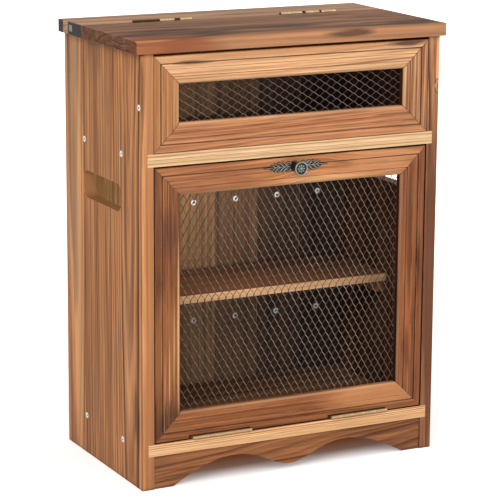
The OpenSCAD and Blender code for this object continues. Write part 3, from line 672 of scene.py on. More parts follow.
# %% Lid board
lid_pine = stained_pine(
    "Lid pine", "X", (Y + 0.06, 0.54), ring=5.5, wave=0.05, lines=1.1, scorch=0.8, light=(172, 121, 84),
    middle=(116, 76, 50), dark=(58, 35, 26), char=(66, 44, 36), rough=0.55, lean=(0.02, 0.0),
    tint=(((0.1, Y - 0.006, 0.620), (0.4, 0.022, 0.03), 0.5, (196, 138, 96)),
          ((-0.17, Y - 0.006, 0.622), (0.075, 0.006, 0.02), 0.8, (140, 80, 50)),
          ((-0.20, Y + 0.005, 0.63), (0.07, 0.04, 0.03), 0.8, (138, 78, 48)),
          ((-0.230, Y - 0.006, 0.623), (0.035, 0.010, 0.009), 0.4, (172, 102, 60)),
          # painted highlight: a pale line along the rounded top front arris at the left
          ((-0.232, Y - 0.004, 0.6345), (0.05, 0.010, 0.0022), 0.5, (214, 146, 98))),
    faces=(("X", -1, 1.0, (205, 190, 180)),),
    flames=(((0.085, Y - 0.004, 0.628), (0.055, 0.02, 0.008), 0.8),
            ((0.20, Y + 0.03, 0.635), (0.06, 0.03, 0.01), 0.6),
            ((-0.02, Y + 0.08, 0.635), (0.10, 0.02, 0.01), 0.5)))
board("lid_board", "Lid board", "lid", lid_pine, 1.4 * MM, 3)
print("lid board", size_mm("lid_board"), "mm")

# %% Rear top strip
strip_pine = stained_pine(
    "Rear strip pine", "X", (Y + 0.22, 0.54), ring=6.0, lines=0.5, light=(196, 150, 114),
    middle=(156, 114, 84), dark=(96, 66, 50), rough=0.5,
    stains=(((-0.245, Y + 0.2075, 0.625), (0.0024, 0.0255, 0.02), (62, 58, 54)),
            ((-0.245, Y + 0.262, 0.625), (0.0024, 0.011, 0.02), (66, 60, 56)),
            ((-0.245, Y + 0.2235, 0.6265), (0.003, 0.0055, 0.0045), (148, 144, 138))))
board("rear_top_strip", "Rear top strip", "cabinet", strip_pine, 1.0 * MM, 3)
print("rear strip", size_mm("rear_top_strip"), "mm")

# %% [markdown]
# ## Pale edges
# The divider, the bottom board and the shelf are hardly stained. Their front edges show clear, even
# lines, so the rings hardly wave and almost no arris is rubbed. Their flat faces lie in the shade
# and are darkened, so that the bins look deep.

# %% Divider, bottom board and shelf
SHADED_FLATS = (("Z", 0, 1.0, (142, 122, 112)),)
EDGE_LOOKS = {
    "divider_board": ("Divider board", "Pale edge pine", (0.30, Y - 0.02), 0.5 * MM, dict(
        ring=3.7, wave=0.002, lines=1.5, fine=0.0, streaks=0.4, scorch=0.0, light=(218, 182, 138),
        middle=(198, 153, 109), dark=(156, 100, 62))),
    "bottom_board": ("Bottom board", "Orange edge pine", (-0.25, Y + 0.01), 0.5 * MM, dict(
        ring=4.3, wave=0.003, lines=1.5, fine=0.0, streaks=0.7, scorch=0.1, light=(234, 190, 140),
        middle=(206, 150, 100), dark=(138, 82, 48))),
    "shelf": ("Shelf", "Shelf pine", (0.30, Y + 0.04), 0.6 * MM, dict(
        ring=4.6, wave=0.006, lines=0.6, streaks=0.5, scorch=0.0, light=(226, 176, 128),
        middle=(204, 150, 104), dark=(160, 106, 66))),
}
for name, (label, finish, heart, arris, looks) in EDGE_LOOKS.items():
    edge_pine = stained_pine(finish, "Xz", heart, worn=0.1, faces=SHADED_FLATS, **looks)
    board(name, label, "cabinet", edge_pine, arris)
print("pale edges:", list(EDGE_LOOKS))

# %% Apron and shelf cleats
apron_pine = stained_pine(
    "Apron pine", "Xz", (-0.05, Y - 0.05), ring=6.0, wave=0.09, lines=0.9, scorch=0.4, light=(160, 102, 60),
    middle=(114, 69, 40), dark=(60, 34, 22), lean=(0.12, 0.0))
for name, label in (("apron", "Scalloped apron"), ("shelf_cleat_left", "Left shelf cleat"),
                    ("shelf_cleat_right", "Right shelf cleat")):
    board(name, label, "cabinet", apron_pine)
print("apron and cleats share", apron_pine.name)

# %% [markdown]
# ## Back
# Six slats stand side by side in front of two battens. Seen through the door they fall from warm
# light on the left to deep shade on the right; from behind they are all alike. So the side that
# looks into the bins is multiplied by the share that turns the outer tone into the inner one.

# %% Slats and battens
INNER_TONES = ((184, 136, 86), (190, 142, 94), (172, 128, 86), (134, 98, 68), (90, 64, 46), (66, 46, 34))
OUTER_TONES = ((186, 138, 90), (170, 122, 78), (178, 132, 88), (160, 114, 74), (176, 126, 80), (166, 120, 80))
SLAT_MIDDLE = 0.76
SLAT_DARK = 0.5
BEHIND_SLOT = ((-0.19, Y + 0.246, 0.40), (0.07, 0.006, 0.05), 0.9, (112, 80, 45))
HAIRLINE = 0.2 * MM


def darker(shade, share):
    return tuple(v * share for v in shade)


for i, (inner, outer) in enumerate(zip(INNER_TONES, OUTER_TONES), 1):
    share = tuple(a / b for a, b in zip(colour(*inner), colour(*outer)))
    slat_pine = stained_pine(
        f"Back slat pine {i}", "Z", (-0.3 + i * 0.11, Y + 0.28 + 0.01 * i), ring=5.0, lines=0.6, light=outer,
        middle=darker(outer, SLAT_MIDDLE), dark=darker(outer, SLAT_DARK),
        tint=(BEHIND_SLOT,) if i == 1 else (), faces=(("Y", -1, 1.0, share),))
    board(f"back_slat_{i}", f"Back slat {i}", "cabinet", slat_pine, widen=HAIRLINE)
for which in ("lower", "upper"):
    batten_pine = stained_pine(f"Batten pine {which}", "Xz", (0.2, Y + 0.33), light=(160, 122, 86),
                               middle=(120, 88, 62))
    board(f"back_batten_{which}", f"{which.capitalize()} back batten", "cabinet", batten_pine)
print("boards:", {body: len(names) for body, names in PIECES.items()})

# %% [markdown]
# ## Frames
# Each frame is four members cut to 45 degrees, with a moulding along them. The grain follows the
# member, so the rails carry it across and the stiles upright, and the grooves are darkened with stain
# and with painted shade. The step of the moulding is in the CAD shape. Its fine grooves are not, so
# the finish draws them, measured from the member's outer edge.

# %% Frame members
SHADED = (96, 74, 62)
INNER_SIDES = {"top": (("Z", -1, 1.0, SHADED),), "left": (("X", 1, 1.0, SHADED),),
               "right": (("X", -1, 1.0, SHADED),), "bottom": ()}


def frame_member(name, label, body, which, heart, **looks):
    low, high = box(name)
    grooves = {"top": ("Z", high.z, -1, "X", low.x, high.x), "bottom": ("Z", low.z, 1, "X", low.x, high.x),
               "left": ("X", low.x, 1, "Z", low.z, high.z), "right": ("X", high.x, -1, "Z", low.z, high.z)}
    grain = "Xz" if which in ("top", "bottom") else "Z"
    looks.update(grooves=grooves[which], faces=INNER_SIDES[which])
    material = stained_pine(label + " pine", grain, heart, **looks)
    return board(name, label, body, material, 0.3 * MM, 2)


frame_member(
    "upper_rail_top", "Upper frame top rail", "cabinet", "top", (0.50, Y + 0.02), ring=6.0, wave=0.04,
    lines=0.75, streaks=0.7, scorch=0.05, light=(226, 175, 128), middle=(196, 140, 97), dark=(104, 62, 40),
    lean=(0.02, 0.0),
    flames=(((-0.155, Y, 0.6015), (0.036, 0.02, 0.004), 0.85),
            ((0.18, Y, 0.6085), (0.042, 0.02, 0.0055), 0.9)),
    tint=(((0.0, Y, 0.594), (0.3, 0.02, 0.004), 0.5, (232, 182, 130)),
          ((0.0, Y, 0.6085), (0.3, 0.02, 0.0075), 0.55, (180, 122, 78))),
    grooved=(1.0, 0.5))
frame_member(
    "upper_rail_bottom", "Upper frame bottom rail", "cabinet", "bottom", (0.45, Y + 0.05), ring=5.2,
    wave=0.06, light=(190, 128, 84), middle=(158, 98, 62), dark=(96, 54, 34), lines=0.9, scorch=0.1,
    lean=(0.03, 0.0))
frame_member(
    "upper_stile_left", "Upper frame left stile", "cabinet", "left", (-0.26, Y + 0.03), ring=6.5,
    light=(172, 117, 70), middle=(150, 97, 57), dark=(92, 54, 32), lines=0.25, fine=0.0, scorch=0.05,
    grooved=(0.7, 0.4), lip=0.9)
frame_member(
    "upper_stile_right", "Upper frame right stile", "cabinet", "right", (0.24, Y - 0.04), ring=5.0,
    light=(214, 156, 108), middle=(140, 86, 54), dark=(72, 40, 26), streaks=1.0, lines=1.1,
    grooved=(1.0, 1.0))
print("upper frame:", [name for name in PIECES["cabinet"] if name.startswith("Upper_frame")])

# %% Door rails
DOOR_CHAR = (66, 38, 24)
HINGE_SHADOW = (44, 24, 12)
SHADOW_HALF = (0.0485, 0.01, 0.0028)

frame_member(
    "door_rail_top", "Door top rail", "door", "top", (0.437, Y + 0.010), ring=4.6, wave=0.03,
    light=(198, 132, 82), middle=(164, 100, 60), dark=(104, 60, 36), lines=0.7, scorch=0.04,
    lean=(0.02, 0.05), bow=(0.035, 0.045, 0.009), grooved=(1.0, 0.0),
    tint=(((0.05, Y, 0.4240), (0.075, 0.02, 0.0065), 0.45, (236, 184, 130)),
          ((-0.14, Y, 0.43), (0.13, 0.02, 0.04), 0.65, (134, 78, 48)),
          ((0.14, Y, 0.44), (0.08, 0.02, 0.03), 0.5, (196, 136, 92))))
frame_member(
    "door_rail_bottom", "Door bottom rail", "door", "bottom", (0.14, Y + 0.04), ring=5.0, wave=0.05,
    light=(152, 90, 48), middle=(114, 63, 32), dark=(70, 34, 17), lines=0.9, scorch=0.2,
    lean=(0.02, 0.0), lip=0.3, char=DOOR_CHAR, grooved=(0.5, 0.1),
    tint=(((0.15, Y, 0.095), (0.12, 0.03, 0.025), 0.75, (194, 130, 82)),),
    # painted shadow on the rail above each hinge
    stains=[((middle, Y, 0.07), SHADOW_HALF, HINGE_SHADOW) for middle in (-0.115, 0.108)])
print("door rails:", [name for name in PIECES["door"] if "rail" in name])

# %% Door stiles
frame_member(
    "door_stile_left", "Door left stile", "door", "left", (-0.21, Y - 0.03), ring=6.5, wave=0.05,
    light=(138, 80, 43), middle=(90, 49, 26), dark=(54, 27, 14), lines=0.6, scorch=0.12, char=DOOR_CHAR,
    grooved=(1.0, 0.0), lip=0.1,
    tint=(((-0.196, Y, 0.365), (0.019, 0.03, 0.045), 0.6, (84, 50, 36)),
          ((-0.2, Y, 0.20), (0.026, 0.03, 0.10), 0.4, (176, 112, 66)),
          ((-0.1785, Y, 0.22), (0.0028, 0.03, 0.15), 0.9, (232, 178, 122)),
          ((-0.186, Y, 0.20), (0.0016, 0.03, 0.10), 0.8, (226, 168, 112)),
          ((-0.193, Y, 0.165), (0.0014, 0.03, 0.06), 0.7, (216, 156, 100)),
          ((-0.2, Y, 0.155), (0.0012, 0.03, 0.05), 0.6, (206, 144, 90)),
          ((-0.205, Y, 0.19), (0.0012, 0.03, 0.04), 0.5, (200, 138, 86)),
          ((-0.19, Y, 0.085), (0.03, 0.03, 0.045), 0.7, (80, 47, 32))))
frame_member(
    "door_stile_right", "Door right stile", "door", "right", (0.195, Y - 0.012), ring=5.5, wave=0.03,
    grooved=(0.5, 0.0), light=(150, 86, 47), middle=(106, 58, 30), dark=(62, 31, 17), lines=0.7, scorch=0.2,
    char=DOOR_CHAR, lip=0.3,
    flames=(((0.2065, Y, 0.285), (0.0045, 0.03, 0.055), 0.85), ((0.19, Y, 0.16), (0.008, 0.03, 0.05), 0.5)))
print("door stiles:", [name for name in PIECES["door"] if "stile" in name])

# %% [markdown]
# ## Metals
# The hinges are brass that has dulled, and the lid's carries dark bands of painted shade along its
# knuckles. The nets are steel, and the knob and its plate are castings with black left in their
# hollows. One recipe serves them all: a cloudy base, painted shade in corners, rubbed edges. It could
# be a picture laid over the metal, but noise and corners need no unwrapping. The castings, the nets
# and the screws also carry a painted depth, because their hollows are too small for ambient
# occlusion to find; it paints the hollows dark as painted shade, and on the nets one slope of
# strands light as painted highlight and the other dark as painted shade.

# %% One recipe for metal
CLOUDS = 315  # waves a metre
SCRATCHES = 1800
DULLED = 0.72  # how dark the clouds are against the base
EDGE_REACH = 0.6 * MM
RELIEF = "relief"  # the attribute that holds the painted depth


def cloudy_metal(name, base, rough, shiny=1.0, worn=None, grime=None, reach=2.2 * MM, relief=None, fade=None,
                 band_shade=None, bands=()):
    """Corners within reach are darkened to grime, as painted shade, and edges are rubbed to the
    worn colour. relief colours the heights of the painted depth; the hollows keep the dark base,
    painted shade that on the castings is also the black in their hollows. fade (place, length, least)
    makes relief weaker towards the left, as painted light falling off. bands are stretches along x in
    band_shade, painted shade on the knuckles (centre, half length)."""
    base = ready(base)
    made, tree = new_material(name)
    place = node(tree, "ShaderNodeTexCoord").outputs["Object"]
    cloud = node(tree, "ShaderNodeTexNoise", {"Vector": place, "Scale": CLOUDS, "Detail": 3.0}).outputs[0]
    fine = node(tree, "ShaderNodeTexNoise", {"Vector": place, "Scale": SCRATCHES, "Detail": 2.0}).outputs[0]
    dull = tuple(v * DULLED for v in base[:3]) + (1,)
    tone = blend(tree, ramp(tree, cloud, (0.35, 0.0), (0.65, 0.5)), base, dull)
    # corners within reach are darkened: painted shade
    if grime:
        tone = blend(tree, in_corners(tree, reach, (0.3, 1.0), (0.85, 0.0)), tone, ready(grime))
    if worn:
        tone = blend(tree, on_arrises(tree, EDGE_REACH, (0.75, 1.0), (0.98, 0.0)), tone, ready(worn))
    x = parts_of(tree, place)[0]
    if relief:
        depth = node(tree, "ShaderNodeAttribute", attribute_name=RELIEF).outputs["Fac"]
        raised = ramp(tree, depth, (0.12, 1.0), (0.4, 0.4), (0.7, 0.0))
        if fade:
            reached = sums(tree, "DIVIDE", sums(tree, "SUBTRACT", x, fade[0]), fade[1])
            raised = product(tree, raised, ramp(tree, reached, (0.0, fade[2]), (1.0, 1.0)))
        tone = blend(tree, raised, tone, ready(relief))
    # bands along x: painted shade
    for centre, half in bands:
        off = sums(tree, "ABSOLUTE", sums(tree, "SUBTRACT", x, centre))
        tone = blend(tree, sums(tree, "LESS_THAN", off, half), tone, ready(band_shade))
    gloss = sums(tree, "MULTIPLY_ADD", cloud, 0.2, rough - 0.1)
    surface(tree, tone, gloss, fine, 0.15, 0.2 * MM, {"Metallic": shiny})
    return made


print("metal clouds", CLOUDS, "and scratches", SCRATCHES, "to the metre")

# %% The metals of this cabinet
# colours of the painted shade in the metals' corners
STEEL_CORNER_SHADE = (50, 42, 36)
BRASS_CORNER_SHADE = (50, 32, 20)

# nets: strands sloping the bright way are painted light as painted highlight, fading to the left; the others
# stay dark as painted shade
net_steel = cloudy_metal("Mesh steel", (78, 66, 56), 0.42, 0.7, grime=STEEL_CORNER_SHADE, relief=(158, 148, 140),
                         fade=(-0.18, 0.26, 0.3))
dull_steel = cloudy_metal("Dull mesh steel", (64, 60, 58), 0.5, 0.7, grime=STEEL_CORNER_SHADE, relief=(128, 120, 116))
# zinc: white on the heights, near black in the recesses, which is painted shade
zinc = cloudy_metal("Zinc plate", (26, 24, 24), 0.4, 0.0, relief=(255, 255, 255))
door_brass = cloudy_metal("Door hinge brass", (206, 172, 122), 0.36, 0.7, grime=BRASS_CORNER_SHADE, worn=(246, 226, 184),
                          reach=2.0 * MM)
# the dark bands along the lid hinge are painted shade on its knuckles
lid_brass = cloudy_metal(
    "Lid hinge brass", (238, 206, 160), 0.36, 0.6, grime=BRASS_CORNER_SHADE, reach=2.0 * MM, band_shade=(74, 50, 34),
    bands=((-0.146, 0.023), (-0.0955, 0.0045), (0.070, 0.003), (0.111, 0.003), (0.139, 0.002)))
# knob and plate: light heights on a dark base; the dark is black in the casting's hollows and painted shade
knob_metal = cloudy_metal("Knob metal", (34, 31, 29), 0.42, 0.5, relief=(152, 153, 146))
plate_metal = cloudy_metal("Plate metal", (30, 28, 26), 0.45, 0.5, relief=(166, 166, 156))
catch_plastic = bpy.data.materials.new("Catch plastic")
catch_plastic.use_nodes = True
plastic_skin = catch_plastic.node_tree.nodes["Principled BSDF"].inputs
plastic_skin["Base Color"].default_value = colour(226, 224, 216)
plastic_skin["Roughness"].default_value = 0.5
METALS = (net_steel, dull_steel, zinc, door_brass, lid_brass, knob_metal, plate_metal)
print("metals:", [metal.name for metal in METALS])

# %% Hinges and catch
LEAVES = (("lid_leaf_fixed", "cabinet", lid_brass), ("lid_leaf_moving", "lid", lid_brass),
          ("door_leaf_fixed", "cabinet", door_brass), ("door_leaf_moving", "door", door_brass))
for side in ("left", "right"):
    for kind, body, brass in LEAVES:
        name = f"{kind}_{side}"
        board(name, name.replace("_", " ").capitalize(), body, brass, 0.25 * MM, 2)
for name, body, material, slot in (
    ("lid_pins", "cabinet", lid_brass, "hinge_brass"), ("door_pins", "cabinet", door_brass, "hinge_brass"),
    ("catch_block", "cabinet", catch_plastic, "catch_plastic"), ("catch_plate", "door", zinc, "plated_steel"),
):
    board(name, name.replace("_", " ").capitalize(), body, material, 0.15 * MM, 2)
print("hinge pieces:", [n for names in PIECES.values() for n in names if "leaf" in n or "pins" in n])

# %% [markdown]
# ## Expanded mesh
# Expanded steel is a sheet that is slit and pulled open, so each strand is tilted and neighbouring
# strands share a short bond. Here one knot is modelled, a bond with its four half strands, and
# Geometry Nodes set it on a lattice of points, which would be slow and uneven to do by hand. The
# door's sheet runs the long way up, the upper sheet the long way across.

# %% Plain meshes and painted depth
def hidden_mesh(name, verts, faces):
    data = bpy.data.meshes.new(name)
    data.from_pydata(verts, [], faces)
    data.update()
    made = bpy.data.objects.new(name, data)
    bpy.context.scene.collection.objects.link(made)
    return made


def paint_relief(made, depths):
    """Writes how deep each point lies, 0 for its heights and 1 for its hollows; the metal paints the
    hollows dark as painted shade. On a net it marks the strands painted light (0) and dark (1).
    """
    told = made.data.attributes.new(RELIEF, "FLOAT", "POINT")
    for i, value in enumerate(depths):
        told.data[i].value = min(1.0, max(0.0, value))


print("painted depth is kept as", RELIEF)

# %% Walls and caps
def walls(pairs, around, start=0):
    """Four-sided faces between rings of points; each pair says from which ring to which."""
    return [(start + a * around + k, start + a * around + (k + 1) % around,
             start + b * around + (k + 1) % around, start + b * around + k)
            for a, b in pairs for k in range(around)]


def cap(ring, around, start=0, turned_over=False):
    """One face that closes a ring of points."""
    face = tuple(start + ring * around + k for k in range(around))
    return face[::-1] if turned_over else face


print("a wall of 16 points has", len(walls(((0, 1),), 16)), "faces")

# %% One knot of the net
STRAND_WIDTH = 0.8 * MM
STRAND_THICK = 0.6 * MM
BOND = 3.2 * MM


def strand_knot(name, short, long, tilt, bright_way):
    """Four half strands from a short bond, each a closed solid; x is the short way, y the long way,
    z the sheet's normal. The strands that slope the bright way are painted light, as painted
    highlight, and the others dark, as painted shade."""
    verts, faces, tones = [], [], []

    def ring(x, y, along, lean):
        normal = Vector((along.y, -along.x, 0))
        if normal.x < 0:
            normal = -normal
        side = normal * math.cos(lean) - Vector((0, 0, 1)) * math.sin(lean)
        face = Vector((0, 0, 1)) * math.cos(lean) + normal * math.sin(lean)
        start = len(verts)
        for a, b in ((-1, -1), (1, -1), (1, 1), (-1, 1)):
            corner = side * (a * STRAND_WIDTH / 2) + face * (b * STRAND_THICK / 2)
            verts.append(tuple(Vector((x, y, 0)) + corner))
        return start

    for sx in (-1, 1):
        for sy in (-1, 1):
            along = Vector((sx * short / 4, sy * (long / 4 - BOND / 2), 0)).normalized()
            up_way = Vector((0, sy, 0))
            near_x, end_x, end_y = STRAND_WIDTH * 0.45, short / 4, long / 4
            stops = [
                ring(sx * STRAND_WIDTH * 0.42, 0, up_way, tilt * 0.6),
                ring(sx * near_x, sy * BOND / 2, (along + up_way).normalized(), tilt * 0.8),
                ring(sx * (near_x + end_x) / 2, sy * (BOND / 2 + end_y) / 2, along, tilt),
                ring(sx * end_x, sy * end_y, along, tilt),
            ]
            # painted highlight on the strands that slope the bright way, painted shade on the others
            tones += [0.0 if sx * sy == bright_way else 1.0] * 16
            strand = walls(((0, 1), (1, 2), (2, 3)), 4, stops[0])
            strand += [cap(0, 4, stops[0], turned_over=True), cap(3, 4, stops[0])]
            faces += [face[::-1] for face in strand] if sy > 0 else strand
    made = hidden_mesh(name, verts, faces)
    paint_relief(made, tones)
    return made


print("strands", STRAND_WIDTH / MM, "by", STRAND_THICK / MM, "mm, bonds", BOND / MM, "mm long")

# %% Setting things out on points
def set_out(tree, points, thing, turns):
    """Sets a copy of an object on every point and makes them one real mesh."""
    source = node(tree, "GeometryNodeObjectInfo", {"Object": thing}).outputs["Geometry"]
    values = {"Points": points, "Instance": source, "Rotation": turns}
    placed = node(tree, "GeometryNodeInstanceOnPoints", values).outputs[0]
    return node(tree, "GeometryNodeRealizeInstances", {0: placed}).outputs[0]


def hand_over(tree, shape, finish):
    """Gives the mesh its material and lets it out of the tree."""
    coated = node(tree, "GeometryNodeSetMaterial", {"Geometry": shape, "Material": finish}).outputs[0]
    node(tree, "NodeGroupOutput", {0: coated})


print("geometry trees so far:", sum(g.bl_idname == "GeometryNodeTree" for g in bpy.data.node_groups))

# %% The lattice tree
lattice, LATTICE_INPUTS = new_group(
    "Strand lattice", "GeometryNodeTree",
    (("Knot", "Object"), ("Cells across", "Int"), ("Cells up", "Int"), ("Pitch across", "Float"),
     ("Pitch up", "Float"), ("Turn", "Float"), ("Unevenness", "Float"), ("Seed", "Float"),
     ("Finish", "Material")),
    (("Geometry", "Geometry"),))
told = node(lattice, "NodeGroupInput").outputs
across = product(lattice, told["Cells across"], told["Pitch across"])
upward = product(lattice, told["Cells up"], told["Pitch up"])
both_grids = node(lattice, "GeometryNodeJoinGeometry")
for spare in (0.0, 1.0):  # the second grid is one cell smaller and sits between the points of the first
    grid = node(lattice, "GeometryNodeMeshGrid", {
        "Size X": sums(lattice, "SUBTRACT", across, product(lattice, told["Pitch across"], spare)),
        "Size Y": sums(lattice, "SUBTRACT", upward, product(lattice, told["Pitch up"], spare)),
        "Vertices X": sums(lattice, "ADD", told["Cells across"], 1.0 - spare),
        "Vertices Y": sums(lattice, "ADD", told["Cells up"], 1.0 - spare)})
    lattice.links.new(grid.outputs["Mesh"], both_grids.inputs[0])
spin = node(lattice, "ShaderNodeCombineXYZ", {2: told["Turn"]}).outputs[0]
net = set_out(lattice, both_grids.outputs[0], told["Knot"], spin)
print("lattice inputs:", list(LATTICE_INPUTS))

# %% Unevenness, and the sheet stood upright
UNEVEN_SCALE = 26.0

where = node(lattice, "GeometryNodeInputPosition").outputs[0]
shake = node(lattice, "ShaderNodeTexNoise", {"Vector": where, "W": told["Seed"], "Scale": UNEVEN_SCALE,
                                             "Detail": 1.0}, noise_dimensions="4D").outputs["Color"]
shake = scaled(lattice, vectors(lattice, "SUBTRACT", shake, (0.5, 0.5, 0.5)), told["Unevenness"])
net = node(lattice, "GeometryNodeSetPosition", {"Geometry": net, "Offset": shake}).outputs[0]
upright = {"Geometry": net, "Rotation": (math.radians(90), 0, 0)}
net = node(lattice, "GeometryNodeTransform", upright).outputs[0]
hand_over(lattice, net, told["Finish"])
print("lattice tree with", len(lattice.nodes), "nodes")

# %% Both sheets
NET_TILT = math.radians(38)
NET_MARGIN = 1.0 * MM


def grown(label, tree, inputs, names, base=None):
    """Runs a geometry node tree once and keeps what it makes as a plain mesh."""
    host = base or hidden_mesh(label + " host", [(0, 0, 0)], [])
    mod = host.modifiers.new(label, "NODES")
    mod.node_group = tree
    for key, value in inputs.items():
        mod[names[key]] = value
    host.update_tag()
    bpy.context.view_layer.update()
    data = bpy.data.meshes.new_from_object(host.evaluated_get(bpy.context.evaluated_depsgraph_get()))
    host.modifiers.clear()
    bpy.data.objects.remove(host)
    made = bpy.data.objects.new(label, data)
    bpy.context.scene.collection.objects.link(made)
    return made


def mesh_sheet(name, label, body, cells, long_up, finish):
    """A net that fills its CAD node's box with this many cells across and up."""
    low, high = box(name)
    pitch = ((high.x - low.x - NET_MARGIN) / cells[0], (high.z - low.z - NET_MARGIN) / cells[1])
    short, long = (pitch[0], pitch[1]) if long_up else (pitch[1], pitch[0])
    knot = strand_knot(label + " knot", short, long, NET_TILT, -1 if long_up else 1)
    made = grown(label, lattice, {
        "Knot": knot, "Cells across": cells[0] - 1, "Cells up": cells[1] - 1, "Pitch across": pitch[0],
        "Pitch up": pitch[1], "Turn": 0.0 if long_up else math.radians(90), "Unevenness": 0.5 * MM,
        "Seed": 3.0, "Finish": finish}, LATTICE_INPUTS)
    made.data.transform(Matrix.Translation((low + high) / 2))
    for v in made.data.vertices:
        for axis in range(3):
            v.co[axis] = min(max(v.co[axis], low[axis]), high[axis])
    bpy.data.objects.remove(knot)
    print(label, "cells", [round(p / MM, 1) for p in pitch], "mm, faces:", len(made.data.polygons))
    return part_of(made, body, name)


mesh_sheet("door_mesh", "Door mesh", "door", (33, 17), True, net_steel)
mesh_sheet("upper_mesh", "Upper mesh", "cabinet", (20, 6), False, dull_steel)

# %% [markdown]
# ## Screws and staples
# The screws are countersunk with a cross recess, and no two heads are turned alike. One screw is
# turned on a lathe in code, as rows of points round its axis. Each could then be placed by hand, but
# the CAD knows the places already. So Geometry Nodes set it where each CAD screw is, facing the way
# an attribute tells, with a random turn of a fixed seed.

# %% One screw
AROUND = 16
STAR = (1.0, 0.68, 0.6, 0.68)  # the cross recess, over a quarter turn


def screw_shape(name, head, shank, length):
    """A countersunk screw with its head flush at z = 0; each row is radius, star or round, z, depth.
    The depth paints the recess and the shank dark, as painted shade.
    """
    rows = (
        (head * 0.5, 0, head * -0.03, 0.2), (head * 0.46, 0, 0.0, 0.0), (head * 0.26, 1, 0.0, 0.0),
        (head * 0.23, 1, head * -0.03, 1.0), (head * 0.17, 1, head * -0.26, 1.0),
        (shank / 2, 0, (shank - head) / 2, 0.4), (shank / 2, 0, shank - length, 0.4),
        (shank * 0.06, 0, -length, 0.4),
    )
    verts, depths = [], []
    for radius, starred, z, deep in rows:
        for k in range(AROUND):
            r = radius * STAR[k % 4] if starred else radius
            a = 2 * math.pi * k / AROUND
            verts.append((r * math.cos(a), r * math.sin(a), z))
            depths.append(deep)
    faces = walls(((0, 1), (1, 2), (2, 3), (3, 4), (5, 0), (6, 5), (7, 6)), AROUND)
    faces += [cap(4, AROUND), cap(7, AROUND, turned_over=True)]
    made = hidden_mesh(name, verts, faces)
    paint_relief(made, depths)
    return made


print("a screw has", 8 * AROUND, "points")

# %% The tree that sets screws
scatter, SCATTER_INPUTS = new_group(
    "Fixings", "GeometryNodeTree",
    (("Geometry", "Geometry"), ("Fixing", "Object"), ("Loose turn", "Float"), ("Seed", "Int"),
     ("Finish", "Material")),
    (("Geometry", "Geometry"),))
told = node(scatter, "NodeGroupInput").outputs
aim = node(scatter, "GeometryNodeInputNamedAttribute", {"Name": "aim"}, data_type="FLOAT_VECTOR").outputs[0]
facing = node(scatter, "FunctionNodeAlignRotationToVector", {"Vector": aim}, axis="Z").outputs[0]
free = node(scatter, "FunctionNodeRandomValue", {"Min": 0.0, "Max": told["Loose turn"], "Seed": told["Seed"]},
            data_type="FLOAT").outputs
free = [socket for socket in free if socket.enabled][0]
twist = node(scatter, "ShaderNodeCombineXYZ", {2: free}).outputs[0]
twist = node(scatter, "FunctionNodeEulerToRotation", {0: twist}).outputs[0]
turned = node(scatter, "FunctionNodeRotateRotation", {0: facing, 1: twist}, rotation_space="LOCAL").outputs[0]
points = node(scatter, "GeometryNodeMeshToPoints", {0: told["Geometry"]}).outputs[0]
hand_over(scatter, set_out(scatter, points, told["Fixing"], turned), told["Finish"])
print("screw tree with", len(scatter.nodes), "nodes, inputs", list(SCATTER_INPUTS))

# %% Where the CAD screws are
def loose_parts(name):
    """The separate solids of a CAD node, as (lowest corner, highest corner)."""
    work = bmesh.new()
    work.from_mesh(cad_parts[name].data)
    bmesh.ops.remove_doubles(work, verts=work.verts, dist=SAME_POINT)
    left, found = set(work.verts), []
    while left:
        pile, group = [left.pop()], []
        while pile:
            vert = pile.pop()
            group.append(vert.co.copy())
            for edge in vert.link_edges:
                other = edge.other_vert(vert)
                if other in left:
                    left.discard(other)
                    pile.append(other)
        lowest = Vector([min(c[i] for c in group) for i in range(3)])
        highest = Vector([max(c[i] for c in group) for i in range(3)])
        found.append((lowest, highest))
    work.free()
    return sorted(found, key=lambda pair: tuple(round(v, 4) for v in pair[0]))


def fixings(node_name, label, body, aim, head, shank, length, material, slot):
    """Screws at the places of a CAD group. aim is the way the heads face; None is outwards along x."""
    spots, aims = [], []
    for low, high in loose_parts(node_name):
        way = Vector(aim or (math.copysign(1, low.x), 0, 0))
        middle = (low + high) / 2
        for i in range(3):
            if abs(way[i]) > 0.5:
                middle[i] = high[i] if way[i] > 0 else low[i]
        spots.append(tuple(middle))
        aims.append(tuple(way))
    base = hidden_mesh(label + " places", spots, [])
    told = base.data.attributes.new("aim", "FLOAT_VECTOR", "POINT")
    for i, way in enumerate(aims):
        told.data[i].vector = way
    shape = screw_shape(label + " shape", head, shank, length)
    made = grown(label, scatter, {"Fixing": shape, "Loose turn": 1.5, "Seed": 7, "Finish": material},
                 SCATTER_INPUTS, base)
    bpy.data.objects.remove(shape)
    print(label, len(spots), "pieces")
    return part_of(made, body, node_name)


print("side screws stand at", [round(low.z / MM) for low, high in loose_parts("side_screws")], "mm")

